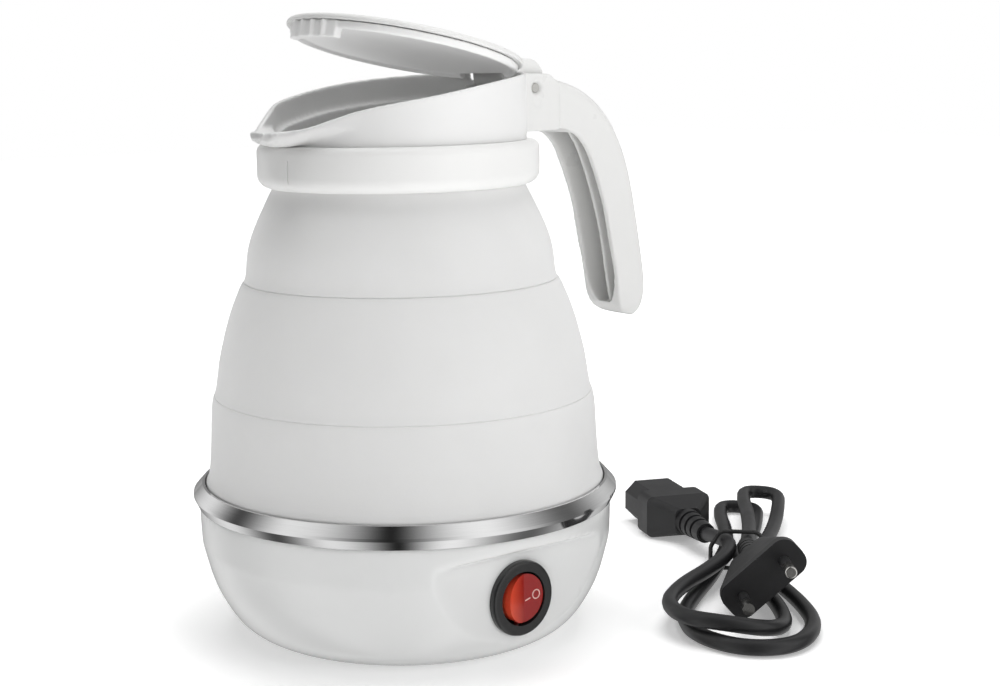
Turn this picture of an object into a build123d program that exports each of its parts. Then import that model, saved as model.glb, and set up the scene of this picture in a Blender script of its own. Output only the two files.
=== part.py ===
from build123d import *
from math import cos, sin, tan, radians, hypot
import os

# Collapsible travel kettle, millimetres, +Z up.
# The origin is on the kettle's axis at table level, the spout points along -X,
# the handle along +X and the rocker switch along -Y.  The lid is shown part open,
# the silicone body pulled up, and the power lead lies beside the kettle in a hank.

os.makedirs("parts", exist_ok=True)

# Shared clearances and walls
overrun = 30.0            # how far a cutting shape runs past what it cuts
seat_gap = 0.3            # between curved faces that meet across a joint or a seat
fit_gap = 0.1             # between flat faces of one assembly that slide together
pin_gap = 0.05            # radial running clearance of a hinge pin
edge_break = 0.5          # small moulded edge radius

# Base bowl
base_rim_r = 71.0
base_h = 45.3
base_foot_r = 51.0
base_floor_z = 0.8
base_wall = 2.2
base_line_r_shares = (0.824, 0.896, 0.948, 0.986)
base_line_z_shares = (0.11, 0.265, 0.44, 0.66)
base_opening_r = 46.0
spigot_wall = 2.2
spigot_gap = 1.6          # from the bowl's outer face in to the spigot inside the band
spigot_h = 1.5

# Switch and inlet panels: vertical flats cut into the bowl's front and back
panel_y = 61.5
panel_centre_z = 22.6
inlet_centre_z = 21.6
panel_half_w = 34.0
panel_roof_z = 35.2
panel_roof_rise = 9.0

# Bottom cover, foot ring and screws
cover_t = 2.0
cover_step = 1.2
foot_ring_in_r = 42.5
screw_pcd_r = 37.0
screw_count = 3
screw_head_r = 2.9
screw_shank_r = 1.45
screw_len = 7.5
boss_r = 3.6
carrier_r = 47.6
carrier_in_r = 18.0

# Steel band
band_widest_r = 73.0
band_widest_share = 0.48
band_h = 7.3
band_flat_h = 1.0
band_bottom_r = 71.5
band_top_r = 69.1
band_t = 0.9

# Heating pan, element and controls
pan_t = 0.8
pan_floor_r = 57.0
pan_floor_drop = 8.2      # from the pan's flange down to its floor
pan_corner_r = 4.0
spreader_r = 36.0
spreader_t = 2.6
element_r = 27.0
element_tube_r = 3.1
element_gap_angle = 60.0
element_tail_len = 9.0
element_cold_pin_r = 1.1
element_cold_pin_len = 6.0
thermostat_r = 8.0
thermostat_t = 5.0
thermostat_ear_l = 24.0
thermostat_ear_w = 7.0
thermostat_ear_t = 0.9
thermostat_leg_l = 8.0
thermostat_leg_w = 4.8
thermostat_leg_t = 0.8
fuse_r = 2.0
fuse_len = 11.0
fuse_y = -18.0
fuse_lead_r = 0.6
fuse_lead_len = 7.0

# Silicone body: three tiers.  The middle one turns inside out when the kettle is folded.
tier_wall = 2.3
tier_fold_wall = 1.7
tier_foot_r = 68.7
low_tier_top_r = 65.6
low_tier_top_z = 82.8
low_tier_waist_share = 0.4
low_tier_waist_r = 66.6
mid_tier_low_r = 64.4
mid_tier_mid_r = 61.6
mid_tier_mid_share = 0.42
mid_tier_high_r = 57.2
mid_tier_high_share = 0.82
mid_tier_top_r = 54.2
top_tier_low_z = 121.0
top_tier_low_r = 52.5
top_tier_belly_r = 52.4
top_tier_belly_share = 0.17
top_tier_upper_r = 48.3
top_tier_upper_share = 0.56
top_tier_neck_r = 42.6
ledge_round = 1.1

# Collar and pouring rim
collar_r = 47.6
collar_low_z = 152.6
collar_h = 14.6
collar_top_round = 2.6
collar_low_round = 4.4
seam_w = 0.5
seam_depth = 0.4
seam_angle = 6.0
neck_bead_h = 8.4
rim_r = 43.4
rim_wall = 1.8
rim_bore_step = 2.1       # the bore below the lid's ledge is this much tighter
rim_skirt_drop = 1.6      # the skirt inside the neck reaches this far below the collar
rim_h = 22.4              # from the collar's top to the highest point at the hinge
rim_line_x_shares = (-1.45, -1.2, -1.03, -0.85, -0.35, 0.0, 0.55, 1.3)
rim_line_z_shares = (0.285, 0.225, 0.295, 0.45, 0.69, 0.81, 0.94, 1.0)
ledge_drop = 8.6

# Spout beak
beak_tip_x = 58.5
beak_half_angle = 43.7
beak_tip_round = 8.5
beak_root_x = 30.0
beak_low_tip_x = 43.5
beak_mid_tip_x = 53.4
beak_mid_rise = 2.6
beak_high_rise = 6.2
beak_lip_wall = 2.1
channel_low_rise = 1.1
channel_mid_rise = 3.7
channel_high_rise = 5.8
channel_low_tip_x = 40.8
channel_mid_tip_x = 50.0
channel_tip_round = 6.6

# Lid hinge and lid, in the lid's own plane whose origin is the hinge pin
hinge_x = 52.0
hinge_z = 183.5
hinge_pin_r = 1.6
lid_closed_pitch = -4.8
lid_open_angle = 18.6     # from closed to the pose in which the part is modelled
lid_rise = 2.9            # the lid's edge line above the pin
lid_centre_x = -50.5
lid_r = 40.2
lid_edge_h = 1.9
lid_edge_round = 1.1
lid_dome_h = 2.4
lid_t = 1.8
skirt_r = 38.6
skirt_wall = 2.0
skirt_h = 2.8
liner_t = 1.4
liner_recess = 1.2
liner_rim_round = 0.8
tab_half_w = 13.0
tab_depth = 8.0
tab_t = 3.0
tab_rib_r = 1.0
tab_rib_pitch = 5.4
tab_rib_count = 4
knuckle_r = 6.0
knuckle_half_w = 8.0
knuckle_hump_z = 10.0
tongue_low = 1.5
hinge_slot_r = 11.2
guide_wall_t = 1.5
guide_wall_reach = 5.0
guide_wall_h = 12.0
hinge_side_gap = 0.3
hinge_notch_drop = 2.4    # room below the tongue when the lid is shut
rear_notch_drop = 3.0
swing_steps = 6
tongue_x = 14.5
tongue_rise = 0.6
tab_r = 39.2
tab_side_low = 4.5
pin_recess = 0.9

# Handle
handle_half_w = 9.6
handle_root_half_w = 11.6
handle_root_low_z = 168.6
handle_outer_xz = (
    (60.4, 187.2), (77.4, 182.2), (87.6, 174.7), (95.5, 163.6), (101.1, 148.6),
    (106.0, 126.0), (108.4, 108.5), (107.4, 101.5), (104.6, 97.4),
)
handle_inner_xz = (
    (60.5, 168.8), (71.2, 167.0), (78.6, 158.9), (83.5, 147.6), (87.0, 136.4),
    (89.9, 123.2), (92.4, 110.4), (94.0, 103.5), (98.8, 99.0),
)
handle_wall = 2.3
handle_round_share = 0.55
handle_w_shares = (1, 1, 1, 1, 1, 1, 0.99, 0.9, 0.6)
channel_w_shares = (1, 1, 1, 1, 1, 0.94, 0.45)
channel_round_share = 0.4
rib_round_share = 0.3
handle_inner_round = 0.9
handle_rib_t = 1.6
handle_rib_drop = 3.2
handle_screw_z = 171.8
handle_root_rise = 2.2
handle_screw_y = 5.2
handle_screw_len = 12.0
handle_screw_sink = 0.9
handle_screw_head_t = 1.6
hinge_low_slot_r = 8.6
dimple_r = 2.6
bump_r = 1.3
bump_drop = 5.2
bump_t = 0.5

# Rocker switch
bezel_r = 12.4
bezel_t = 2.2
bezel_bore_r = 8.9
switch_body_r = 9.8
switch_body_len = 15.0
switch_pocket_depth = 7.0
rocker_r = 8.0
rocker_depth = 6.4
rocker_tilt = 9.0
rocker_pin_r = 1.0
rocker_pin_len = 1.2
rocker_pivot_in = 1.6     # the pivot lies this far inside the panel face
rocker_crown = 4.5
lamp_r = 1.6
lamp_len = 5.0
terminal_l = 9.0
terminal_w = 4.8
terminal_t = 0.8
terminal_pitch = 7.0
snap_w = 5.0
snap_t = 1.0
snap_len = 6.0

# Appliance inlet on the back panel
inlet_w = 24.4
inlet_h = 16.8
inlet_corner = 4.6
inlet_depth = 17.0
inlet_shell = 1.8
inlet_flange_w = 29.6
inlet_flange_h = 22.0
inlet_flange_t = 2.4
inlet_pin_w = 4.0
inlet_pin_t = 2.0
inlet_pin_len = 16.0
inlet_pin_pitch = 7.0
inlet_pin_rise = 2.0
inlet_tail_len = 8.0

# Internal wires
wire_r = 1.1
wire_bend = 4.0
wire_low_z = 10.0
wire_mid_z = 15.5
sleeve_r = 2.0
sleeve_len = 9.0

# Power lead: route in its own plane on the table, u to the right, v away, w up
lead_r = 2.75
lead_near_x = 57.6
lead_near_y = -103.7
lead_heading = 43.1
lead_bend_share = 0.45
lead_bend_most = 60.0
gap_skip = 30.0           # clearance along the cord is measured past this much of its own length
lead_route = (
    (-12.4, 117.5, 8.8), (-8.0, 107.5, 10.4), (-3.5, 98.0, 11.3), (-3.9, 84.0, 10.9), (-10.6, 67.0, 10.0),
    (-20.6, 47.5, 9.2), (-25.0, 29.0, 8.8), (-18.5, 13.0, 9.3), (-4.6, 8.8, 9.3), (9.6, 12.2, 6.6),
    (15.8, 28.0, 3.4), (12.2, 55.0, 3.1), (3.4, 79.0, 3.9), (-0.2, 98.0, 5.0), (1.9, 118.0, 3.9),
    (5.8, 141.0, 3.1), (7.6, 163.0, 3.0), (8.0, 180.5, 3.0), (-7.0, 183.5, 3.0), (-7.4, 167.0, 3.0),
    (-5.0, 146.0, 3.1), (-4.2, 121.0, 3.5), (-6.6, 98.0, 5.0), (-10.0, 78.0, 3.9), (-16.2, 55.0, 3.1),
    (-19.6, 34.0, 3.0), (-15.0, 14.0, 3.0), (1.0, 2.4, 3.0), (18.5, 7.5, 3.0), (25.6, 29.0, 3.0),
    (21.0, 54.0, 3.0), (11.8, 77.0, 3.9), (6.4, 98.0, 5.0), (9.3, 119.0, 4.4), (14.2, 143.0, 5.2),
    (16.6, 165.0, 8.6), (16.6, 181.0, 9.6), (2.4, 183.0, 9.8), (2.2, 167.0, 9.8), (3.6, 146.0, 10.0),
    (4.1, 121.0, 10.6), (3.4, 104.0, 11.4), (3.0, 91.0, 11.6),
)
tie_v = 99.0
tie_r = 0.8
tie_corner = 3.4
tie_low_w = 0.85
tie_outline = (
    (11.1, tie_low_w), (11.1, 9.0), (7.0, 15.2), (-7.2, 15.2), (-10.6, 9.0), (-10.6, tie_low_w),
)

# Connector on the lead, lying flat on the table with its mouth at the far end
connector_w = 23.6
connector_h = 16.0
connector_corner = 4.4
connector_mouth_len = 19.0
connector_grip_w = 27.0
connector_grip_h = 17.0
connector_grip_len = 21.0
connector_relief_len = 18.0
connector_relief_r = 5.4
connector_relief_end_r = 3.9
connector_slot_w = 4.4
connector_slot_t = 2.5
connector_slot_depth = 15.0
connector_contact_len = 12.0
relief_gap = 0.5          # between the cord's cut end and its strain relief
relief_groove = 1.1
relief_groove_w = 1.5
relief_groove_count = 3

# Two-pin plug on the lead, rolled on its side between the loops
plug_front_w = 32.0
plug_back_w = 19.0
plug_t = 13.6
plug_body_len = 34.0
plug_flange_len = 5.0
plug_relief_len = 21.0
plug_relief_r = 4.6
plug_relief_end_r = 3.7
plug_pin_r = 2.0
plug_sleeve_r = 1.85
plug_pin_len = 19.0
plug_pin_sleeve_len = 10.0
plug_pin_pitch = 18.6
plug_roll = 42.0
plug_turn = 5.0
plug_lift = 6.5
plug_corner_share = 0.36

# Places worked out from the sizes above
collar_top_z = collar_low_z + collar_h
rim_bore_r = rim_r - rim_wall
neck_bore_r = rim_bore_r - rim_bore_step
band_top_z = base_h + band_h
flange_z = base_h + spigot_h
spigot_r = base_rim_r - spigot_gap
pan_floor_z = flange_z + pan_t - pan_floor_drop
rim_top_z = collar_top_z + rim_h
top_tier_h = collar_low_z - top_tier_low_z
ledge_mid = ledge_round * (1 - cos(radians(45)))
lid_rest_pitch = lid_open_angle + lid_closed_pitch


def ring_section(points):
    """A closed half section in the XZ plane from corner points."""
    with BuildSketch(Plane.XZ) as section:
        with BuildLine():
            Polyline(*points, close=True)
        make_face()
    return section.sketch


def shared_points(x_shares, z_shares, x_size, z_size, z_low):
    return [(x * x_size, z_low + z * z_size) for x, z in zip(x_shares, z_shares)]


# Base bowl: outer line, then the same line one wall further in
def bowl_face(inset):
    line = shared_points(base_line_r_shares, base_line_z_shares, base_rim_r, base_h, 0)
    rim = (base_rim_r - inset, base_h)
    foot = (base_foot_r - inset, base_floor_z + inset)
    points = [foot] + [(r - inset, z + inset / 2) for r, z in line] + [rim]
    with BuildSketch(Plane.XZ) as face:
        with BuildLine():
            Spline(*points, tangents=((1, 0.3), (0.03, 1)))
            Polyline(rim, (0, rim[1]), (0, foot[1]), foot)
        make_face()
    return face.sketch


def panel_cutter(side, inset):
    """The space in front of the flat panel, with its roof swept up to the rim."""
    flat = panel_y - inset
    roof = panel_roof_z + inset
    high = roof + panel_roof_rise
    with BuildSketch(Plane.YZ.offset(-panel_half_w)) as outline:
        with BuildLine():
            Line((side * flat, -overrun), (side * flat, roof))
            Spline((side * flat, roof), (side * (base_rim_r + inset), high), tangents=((0, 1), (0, 1)))
            Polyline(
                (side * (base_rim_r + inset), high),
                (side * (base_rim_r + overrun), high),
                (side * (base_rim_r + overrun), -overrun),
                (side * flat, -overrun),
            )
        make_face()
    return extrude(outline.sketch, amount=2 * panel_half_w)


with BuildPart() as bowl_room:
    add(bowl_face(base_wall))
    revolve(axis=Axis.Z)
    add(panel_cutter(-1, base_wall), mode=Mode.SUBTRACT)
    add(panel_cutter(1, base_wall), mode=Mode.SUBTRACT)

screw_places = [(screw_pcd_r, 90 + 360 / screw_count * (i + 0.5)) for i in range(screw_count)]
screw_spots = [(r * cos(radians(a)), r * sin(radians(a))) for r, a in screw_places]
cover_top_z = base_floor_z + cover_step + cover_t

with BuildPart() as base_shell:
    add(bowl_face(0))
    revolve(axis=Axis.Z)
    add(panel_cutter(-1, 0), mode=Mode.SUBTRACT)
    add(panel_cutter(1, 0), mode=Mode.SUBTRACT)
    add(bowl_room.part, mode=Mode.SUBTRACT)
    # spigot that carries the pan's flange inside the steel band
    add(ring_section((
        (spigot_r - spigot_wall, base_h - base_wall),
        (base_rim_r - base_wall / 2, base_h - base_wall),
        (base_rim_r - base_wall / 2, base_h),
        (spigot_r, base_h),
        (spigot_r, flange_z),
        (spigot_r - spigot_wall, flange_z),
    )))
    revolve(axis=Axis.Z)
    # opening for the bottom cover, with a rebate that the cover sits in
    with BuildSketch(Plane.XY.offset(-overrun)):
        Circle(base_opening_r - cover_t)
    extrude(amount=2 * overrun, mode=Mode.SUBTRACT)
    with BuildSketch(Plane.XY):
        Circle(base_opening_r)
    extrude(amount=base_floor_z + cover_step, mode=Mode.SUBTRACT)
    # bore for the switch and cut-out for the inlet
    with BuildSketch(Plane.XZ.offset(panel_y - 2 * base_wall)):
        with Locations((0, panel_centre_z)):
            Circle(switch_body_r + fit_gap)
    extrude(amount=overrun, mode=Mode.SUBTRACT)
    with BuildSketch(Plane.XZ.offset(-panel_y - overrun)):
        with Locations((0, inlet_centre_z)):
            Rectangle(inlet_w + 2 * (inlet_shell + fit_gap), inlet_h + 2 * (inlet_shell + fit_gap))
    extrude(amount=overrun + 2 * base_wall, mode=Mode.SUBTRACT)
base_shell.part.label = "base_shell"
export_step(base_shell.part, "parts/base_shell.step")

# Bottom cover with vent slots, the anti-slip foot ring under it, and its screws
with BuildPart() as bottom_cover:
    with BuildSketch(Plane.XY.offset(base_floor_z + cover_step)):
        Circle(base_opening_r - fit_gap)
        with Locations(*screw_spots):
            Circle(screw_shank_r + fit_gap, mode=Mode.SUBTRACT)
    extrude(amount=-cover_step)
    with BuildSketch(Plane.XY.offset(base_floor_z + cover_step)):
        Circle(base_opening_r - cover_t - fit_gap)
        with Locations(*screw_spots):
            Circle(screw_shank_r + fit_gap, mode=Mode.SUBTRACT)
        with PolarLocations(screw_pcd_r / 2, 2 * screw_count):
            SlotOverall(screw_pcd_r / 3, screw_shank_r * 2, rotation=90, mode=Mode.SUBTRACT)
    extrude(amount=cover_t)
    with BuildSketch(Plane.XY.offset(base_floor_z)):
        with PolarLocations(screw_pcd_r / 2, 2 * screw_count):
            SlotOverall(screw_pcd_r / 3, screw_shank_r * 2, rotation=90)
        with Locations(*screw_spots):
            Circle(screw_head_r + fit_gap)
    extrude(amount=cover_step, mode=Mode.SUBTRACT)
bottom_cover.part.label = "bottom_cover"
export_step(bottom_cover.part, "parts/bottom_cover.step")

with BuildPart() as foot_ring:
    with BuildSketch(Plane.XY):
        Circle(base_opening_r - fit_gap)
        Circle(foot_ring_in_r, mode=Mode.SUBTRACT)
    extrude(amount=base_floor_z)
foot_ring.part.label = "foot_ring"
export_step(foot_ring.part, "parts/foot_ring.step")

with BuildPart() as bottom_screws:
    with BuildSketch(Plane.XY.offset(base_floor_z + cover_step)):
        with Locations(*screw_spots):
            Circle(screw_head_r)
    extrude(amount=-cover_step)
    with BuildSketch(Plane.XY.offset(base_floor_z + cover_step)):
        with Locations(*screw_spots):
            Circle(screw_shank_r)
    extrude(amount=screw_len)
bottom_screws.part.label = "bottom_screws"
export_step(bottom_screws.part, "parts/bottom_screws.step")

# Inner carrier: a plate on the bowl's floor with the bosses that the bottom screws bite into
carrier_low_z = cover_top_z + fit_gap
with BuildPart() as inner_carrier:
    with BuildSketch(Plane.XY.offset(base_floor_z + base_wall)):
        Circle(carrier_r)
        Circle(base_opening_r - cover_t + fit_gap, mode=Mode.SUBTRACT)
    extrude(amount=carrier_low_z + cover_t - base_floor_z - base_wall)
    with BuildSketch(Plane.XY.offset(carrier_low_z)):
        Circle(carrier_r)
        Circle(carrier_in_r, mode=Mode.SUBTRACT)
    extrude(amount=cover_t)
    with BuildSketch(Plane.XY.offset(carrier_low_z)):
        with Locations(*screw_spots):
            Circle(boss_r)
    extrude(amount=screw_len)
    with BuildSketch(Plane.XY.offset(carrier_low_z)):
        with Locations(*screw_spots):
            Circle(screw_shank_r)
    extrude(amount=screw_len - cover_t, mode=Mode.SUBTRACT)
inner_carrier.part.label = "inner_carrier"
export_step(inner_carrier.part, "parts/inner_carrier.step")

# Steel band: a flared ring whose inner lip holds the silicone flange down
band_widest_z = base_h + band_h * band_widest_share
with BuildPart() as steel_band:
    add(ring_section((
        (band_bottom_r - band_t, base_h),
        (band_bottom_r, base_h),
        (band_widest_r, band_widest_z - band_flat_h / 2),
        (band_widest_r, band_widest_z + band_flat_h / 2),
        (band_top_r + band_t, band_top_z),
        (band_top_r, band_top_z),
        (band_widest_r - band_t, band_widest_z + band_flat_h / 2),
        (band_widest_r - band_t, band_widest_z - band_flat_h / 2),
        (band_bottom_r - band_t, base_h + band_t),
    )))
    revolve(axis=Axis.Z)
steel_band.part.label = "steel_band"
export_step(steel_band.part, "parts/steel_band.step")

# Heating pan: a pressed dish whose flange lies on the spigot
pan_under_z = pan_floor_z - pan_t
with BuildPart() as heating_pan:
    with BuildSketch(Plane.XZ):
        with BuildLine():
            FilletPolyline(
                (0, pan_floor_z),
                (pan_floor_r, pan_floor_z),
                (pan_floor_r + pan_corner_r, flange_z + pan_t),
                (spigot_r, flange_z + pan_t),
                radius=pan_corner_r / 2,
            )
            Line((spigot_r, flange_z + pan_t), (spigot_r, flange_z))
            FilletPolyline(
                (spigot_r, flange_z),
                (pan_floor_r + pan_corner_r + pan_t, flange_z),
                (pan_floor_r + pan_t, pan_under_z),
                (0, pan_under_z),
                radius=pan_corner_r / 2,
            )
            Line((0, pan_under_z), (0, pan_floor_z))
        make_face()
    revolve(axis=Axis.Z)
heating_pan.part.label = "heating_pan"
export_step(heating_pan.part, "parts/heating_pan.step")

spreader_low_z = pan_under_z - spreader_t
with BuildPart() as heat_spreader:
    with BuildSketch(Plane.XY.offset(pan_under_z)):
        Circle(spreader_r)
    extrude(amount=-spreader_t)
    chamfer(heat_spreader.edges().group_by(Axis.Z)[0], length=edge_break)
heat_spreader.part.label = "heat_spreader"
export_step(heat_spreader.part, "parts/heat_spreader.step")

# Sheathed element: a ring open towards -X, with both tails turned down
element_z = spreader_low_z - element_tube_r
half_open = radians(180 - element_gap_angle / 2)
element_end_x = element_r * cos(half_open)
element_end_y = element_r * sin(half_open)
with BuildPart() as heating_element:
    with BuildLine(Plane.XY.offset(element_z)):
        CenterArc((0, 0), element_r, element_gap_angle / 2 - 180, 360 - element_gap_angle)
    element_start = (element_end_x, -element_end_y, element_z)
    with BuildSketch(Plane(element_start, z_dir=(element_end_y, element_end_x, 0))):
        Circle(element_tube_r)
    sweep()
    with BuildSketch(Plane.XY.offset(element_z)):
        with Locations((element_end_x, element_end_y), (element_end_x, -element_end_y)):
            Circle(element_tube_r)
    extrude(amount=-element_tail_len)
    with Locations((element_end_x, element_end_y, element_z), (element_end_x, -element_end_y, element_z)):
        Sphere(element_tube_r)
heating_element.part.label = "heating_element"
export_step(heating_element.part, "parts/heating_element.step")

element_tail_z = element_z - element_tail_len
with BuildPart() as element_cold_pins:
    with BuildSketch(Plane.XY.offset(element_tail_z)):
        with Locations((element_end_x, element_end_y), (element_end_x, -element_end_y)):
            Circle(element_cold_pin_r)
    extrude(amount=-element_cold_pin_len)
element_cold_pins.part.label = "element_cold_pins"
export_step(element_cold_pins.part, "parts/element_cold_pins.step")

# Disc thermostat held against the spreader by its two-eared plate
with BuildPart() as thermostat:
    with BuildSketch(Plane.XY.offset(spreader_low_z)):
        SlotOverall(thermostat_ear_l, thermostat_ear_w)
    extrude(amount=-thermostat_ear_t)
    with BuildSketch(Plane.XY.offset(spreader_low_z - thermostat_ear_t)):
        Circle(thermostat_r)
    extrude(amount=-thermostat_t)
thermostat.part.label = "thermostat"
export_step(thermostat.part, "parts/thermostat.step")

thermostat_low_z = spreader_low_z - thermostat_ear_t - thermostat_t
with BuildPart() as thermostat_legs:
    with BuildSketch(Plane.XY.offset(thermostat_low_z)):
        with Locations((0, thermostat_r / 2), (0, -thermostat_r / 2)):
            Rectangle(thermostat_leg_w, thermostat_leg_t)
    extrude(amount=-thermostat_leg_l)
thermostat_legs.part.label = "thermostat_legs"
export_step(thermostat_legs.part, "parts/thermostat_legs.step")

# Thermal fuse clipped flat against the spreader
fuse_z = spreader_low_z - fuse_r
with BuildPart() as thermal_fuse:
    with BuildSketch(Plane.YZ.offset(-fuse_len / 2)):
        with Locations((fuse_y, fuse_z)):
            Circle(fuse_r)
    extrude(amount=fuse_len)
    with BuildSketch(Plane.YZ.offset(-fuse_len / 2 - fuse_lead_len)):
        with Locations((fuse_y, fuse_z)):
            Circle(fuse_lead_r)
    extrude(amount=fuse_len + 2 * fuse_lead_len)
thermal_fuse.part.label = "thermal_fuse"
export_step(thermal_fuse.part, "parts/thermal_fuse.step")

# Silicone body.  The lower tier's flange is clamped between pan and band.
flange_top_z = flange_z + pan_t
low_tier_waist_z = band_top_z + (low_tier_top_z - band_top_z) * low_tier_waist_share
with BuildPart() as silicone_lower_tier:
    with BuildSketch(Plane.XZ):
        with BuildLine():
            Spline(
                (tier_foot_r, band_top_z),
                (low_tier_waist_r, low_tier_waist_z),
                (low_tier_top_r, low_tier_top_z - ledge_round),
                tangents=((-0.35, 1), (-0.02, 1)),
            )
            ThreePointArc(
                (low_tier_top_r, low_tier_top_z - ledge_round),
                (low_tier_top_r - ledge_mid, low_tier_top_z - ledge_mid),
                (low_tier_top_r - ledge_round, low_tier_top_z),
            )
            Line(
                (low_tier_top_r - ledge_round, low_tier_top_z),
                (low_tier_top_r - tier_fold_wall, low_tier_top_z),
            )
            Spline(
                (low_tier_top_r - tier_fold_wall, low_tier_top_z),
                (low_tier_waist_r - tier_wall, low_tier_waist_z),
                (tier_foot_r - tier_wall, band_top_z),
                tangents=((0, -1), (0.3, -1)),
            )
            Polyline(
                (tier_foot_r - tier_wall, band_top_z),
                (pan_floor_r + 2 * pan_corner_r, flange_top_z),
                (spigot_r, flange_top_z),
                (tier_foot_r, band_top_z),
            )
        make_face()
    revolve(axis=Axis.Z)
silicone_lower_tier.part.label = "silicone_lower_tier"
export_step(silicone_lower_tier.part, "parts/silicone_lower_tier.step")

mid_h = top_tier_low_z - low_tier_top_z
mid_one_z = low_tier_top_z + mid_h * mid_tier_mid_share
mid_two_z = low_tier_top_z + mid_h * mid_tier_high_share
with BuildPart() as silicone_middle_tier:
    with BuildSketch(Plane.XZ):
        with BuildLine():
            Spline(
                (mid_tier_low_r, low_tier_top_z),
                (mid_tier_mid_r, mid_one_z),
                (mid_tier_high_r, mid_two_z),
                (mid_tier_top_r, top_tier_low_z - ledge_round),
                tangents=((-0.08, 1), (-0.6, 1)),
            )
            Line((mid_tier_top_r, top_tier_low_z - ledge_round), (top_tier_low_r, top_tier_low_z))
            Line((top_tier_low_r, top_tier_low_z), (top_tier_low_r - tier_fold_wall, top_tier_low_z))
            Spline(
                (top_tier_low_r - tier_fold_wall, top_tier_low_z),
                (mid_tier_high_r - tier_wall, mid_two_z - ledge_round),
                (mid_tier_mid_r - tier_wall, mid_one_z),
                (mid_tier_low_r - tier_fold_wall, low_tier_top_z),
                tangents=((0.8, -1), (0.08, -1)),
            )
            Line((mid_tier_low_r - tier_fold_wall, low_tier_top_z), (mid_tier_low_r, low_tier_top_z))
        make_face()
    revolve(axis=Axis.Z)
silicone_middle_tier.part.label = "silicone_middle_tier"
export_step(silicone_middle_tier.part, "parts/silicone_middle_tier.step")

neck_top_z = collar_low_z + neck_bead_h
top_one_z = top_tier_low_z + top_tier_h * top_tier_belly_share
top_two_z = top_tier_low_z + top_tier_h * top_tier_upper_share
neck_in_r = top_tier_neck_r - tier_fold_wall
with BuildPart() as silicone_upper_tier:
    with BuildSketch(Plane.XZ):
        with BuildLine():
            Spline(
                (top_tier_low_r, top_tier_low_z),
                (top_tier_belly_r, top_one_z),
                (top_tier_upper_r, top_two_z),
                (top_tier_neck_r, collar_low_z),
                tangents=((0.05, 1), (-0.7, 1)),
            )
            Polyline(
                (top_tier_neck_r, collar_low_z),
                (top_tier_neck_r, neck_top_z),
                (neck_in_r, neck_top_z),
                (neck_in_r, collar_low_z),
            )
            Spline(
                (neck_in_r, collar_low_z),
                (top_tier_upper_r - tier_wall, top_two_z - ledge_round),
                (top_tier_belly_r - tier_wall, top_one_z),
                (top_tier_low_r - tier_fold_wall, top_tier_low_z),
                tangents=((0.7, -1), (-0.05, -1)),
            )
            Line((top_tier_low_r - tier_fold_wall, top_tier_low_z), (top_tier_low_r, top_tier_low_z))
        make_face()
    revolve(axis=Axis.Z)
silicone_upper_tier.part.label = "silicone_upper_tier"
export_step(silicone_upper_tier.part, "parts/silicone_upper_tier.step")

# Collar: the clamp ring round the neck, with its moulded seam
with BuildPart() as collar_ring:
    with BuildSketch(Plane.XZ):
        with BuildLine():
            FilletPolyline(
                (top_tier_neck_r + fit_gap, collar_low_z),
                (collar_r, collar_low_z),
                (collar_r, collar_top_z),
                (rim_r + fit_gap, collar_top_z),
                radius=[collar_low_round, collar_top_round],
            )
            Polyline(
                (rim_r + fit_gap, collar_top_z),
                (rim_r + fit_gap, neck_top_z + fit_gap),
                (top_tier_neck_r + fit_gap, neck_top_z + fit_gap),
                (top_tier_neck_r + fit_gap, collar_low_z),
            )
        make_face()
    revolve(axis=Axis.Z)
    with BuildSketch(Plane.XY.offset(collar_low_z - collar_low_round)):
        with PolarLocations(collar_r, 1, start_angle=180 + seam_angle):
            Rectangle(2 * seam_depth, seam_w)
    extrude(amount=collar_h, mode=Mode.SUBTRACT)
collar_ring.part.label = "collar_ring"
export_step(collar_ring.part, "parts/collar_ring.step")


# Pouring rim: round wall with a spout beak, its top edge following one rising line
def rim_line_cutter(drop):
    """Everything above the rim's top line, lowered by drop."""
    line = shared_points(rim_line_x_shares, rim_line_z_shares, rim_r, rim_h, collar_top_z - drop)
    high = rim_top_z + overrun
    with BuildSketch(Plane.XZ.offset(-2 * overrun)) as region:
        with BuildLine():
            Spline(*line)
            Polyline(line[-1], (line[-1][0], high), (line[0][0], high), line[0])
        make_face()
    return extrude(region.sketch, amount=4 * overrun)


def beak_face(z, tip_x, tip_round):
    """The beak's outline at one height: two flanks that meet in a rounded tip."""
    flank = radians(beak_half_angle)
    apex_x = tip_x + tip_round * (1 / sin(flank) - 1)
    half = (apex_x - beak_root_x) * tan(flank)
    with BuildSketch(Plane.XY.offset(z)) as outline:
        with BuildLine():
            Polyline((-beak_root_x, -half), (-apex_x, 0), (-beak_root_x, half), close=True)
        make_face()
        fillet(outline.vertices().sort_by(Axis.X)[0], radius=tip_round)
    return outline.sketch


beak_faces = [
    beak_face(collar_top_z, beak_low_tip_x, beak_tip_round),
    beak_face(collar_top_z + beak_mid_rise, beak_mid_tip_x, beak_tip_round),
    beak_face(collar_top_z + beak_high_rise, beak_tip_x, beak_tip_round),
]
channel_faces = [
    beak_face(collar_top_z + channel_low_rise, channel_low_tip_x, channel_tip_round),
    beak_face(collar_top_z + channel_mid_rise, channel_mid_tip_x, channel_tip_round),
    beak_face(collar_top_z + channel_high_rise, beak_tip_x - beak_lip_wall, channel_tip_round),
]
above_rim = rim_line_cutter(0)
above_ledge = rim_line_cutter(ledge_drop)

with BuildPart() as beak_solid:
    loft(beak_faces)
    extrude(beak_faces[-1], amount=rim_h)

with BuildPart() as beak_channel:
    loft(channel_faces)
    extrude(channel_faces[-1], amount=rim_h)

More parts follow.
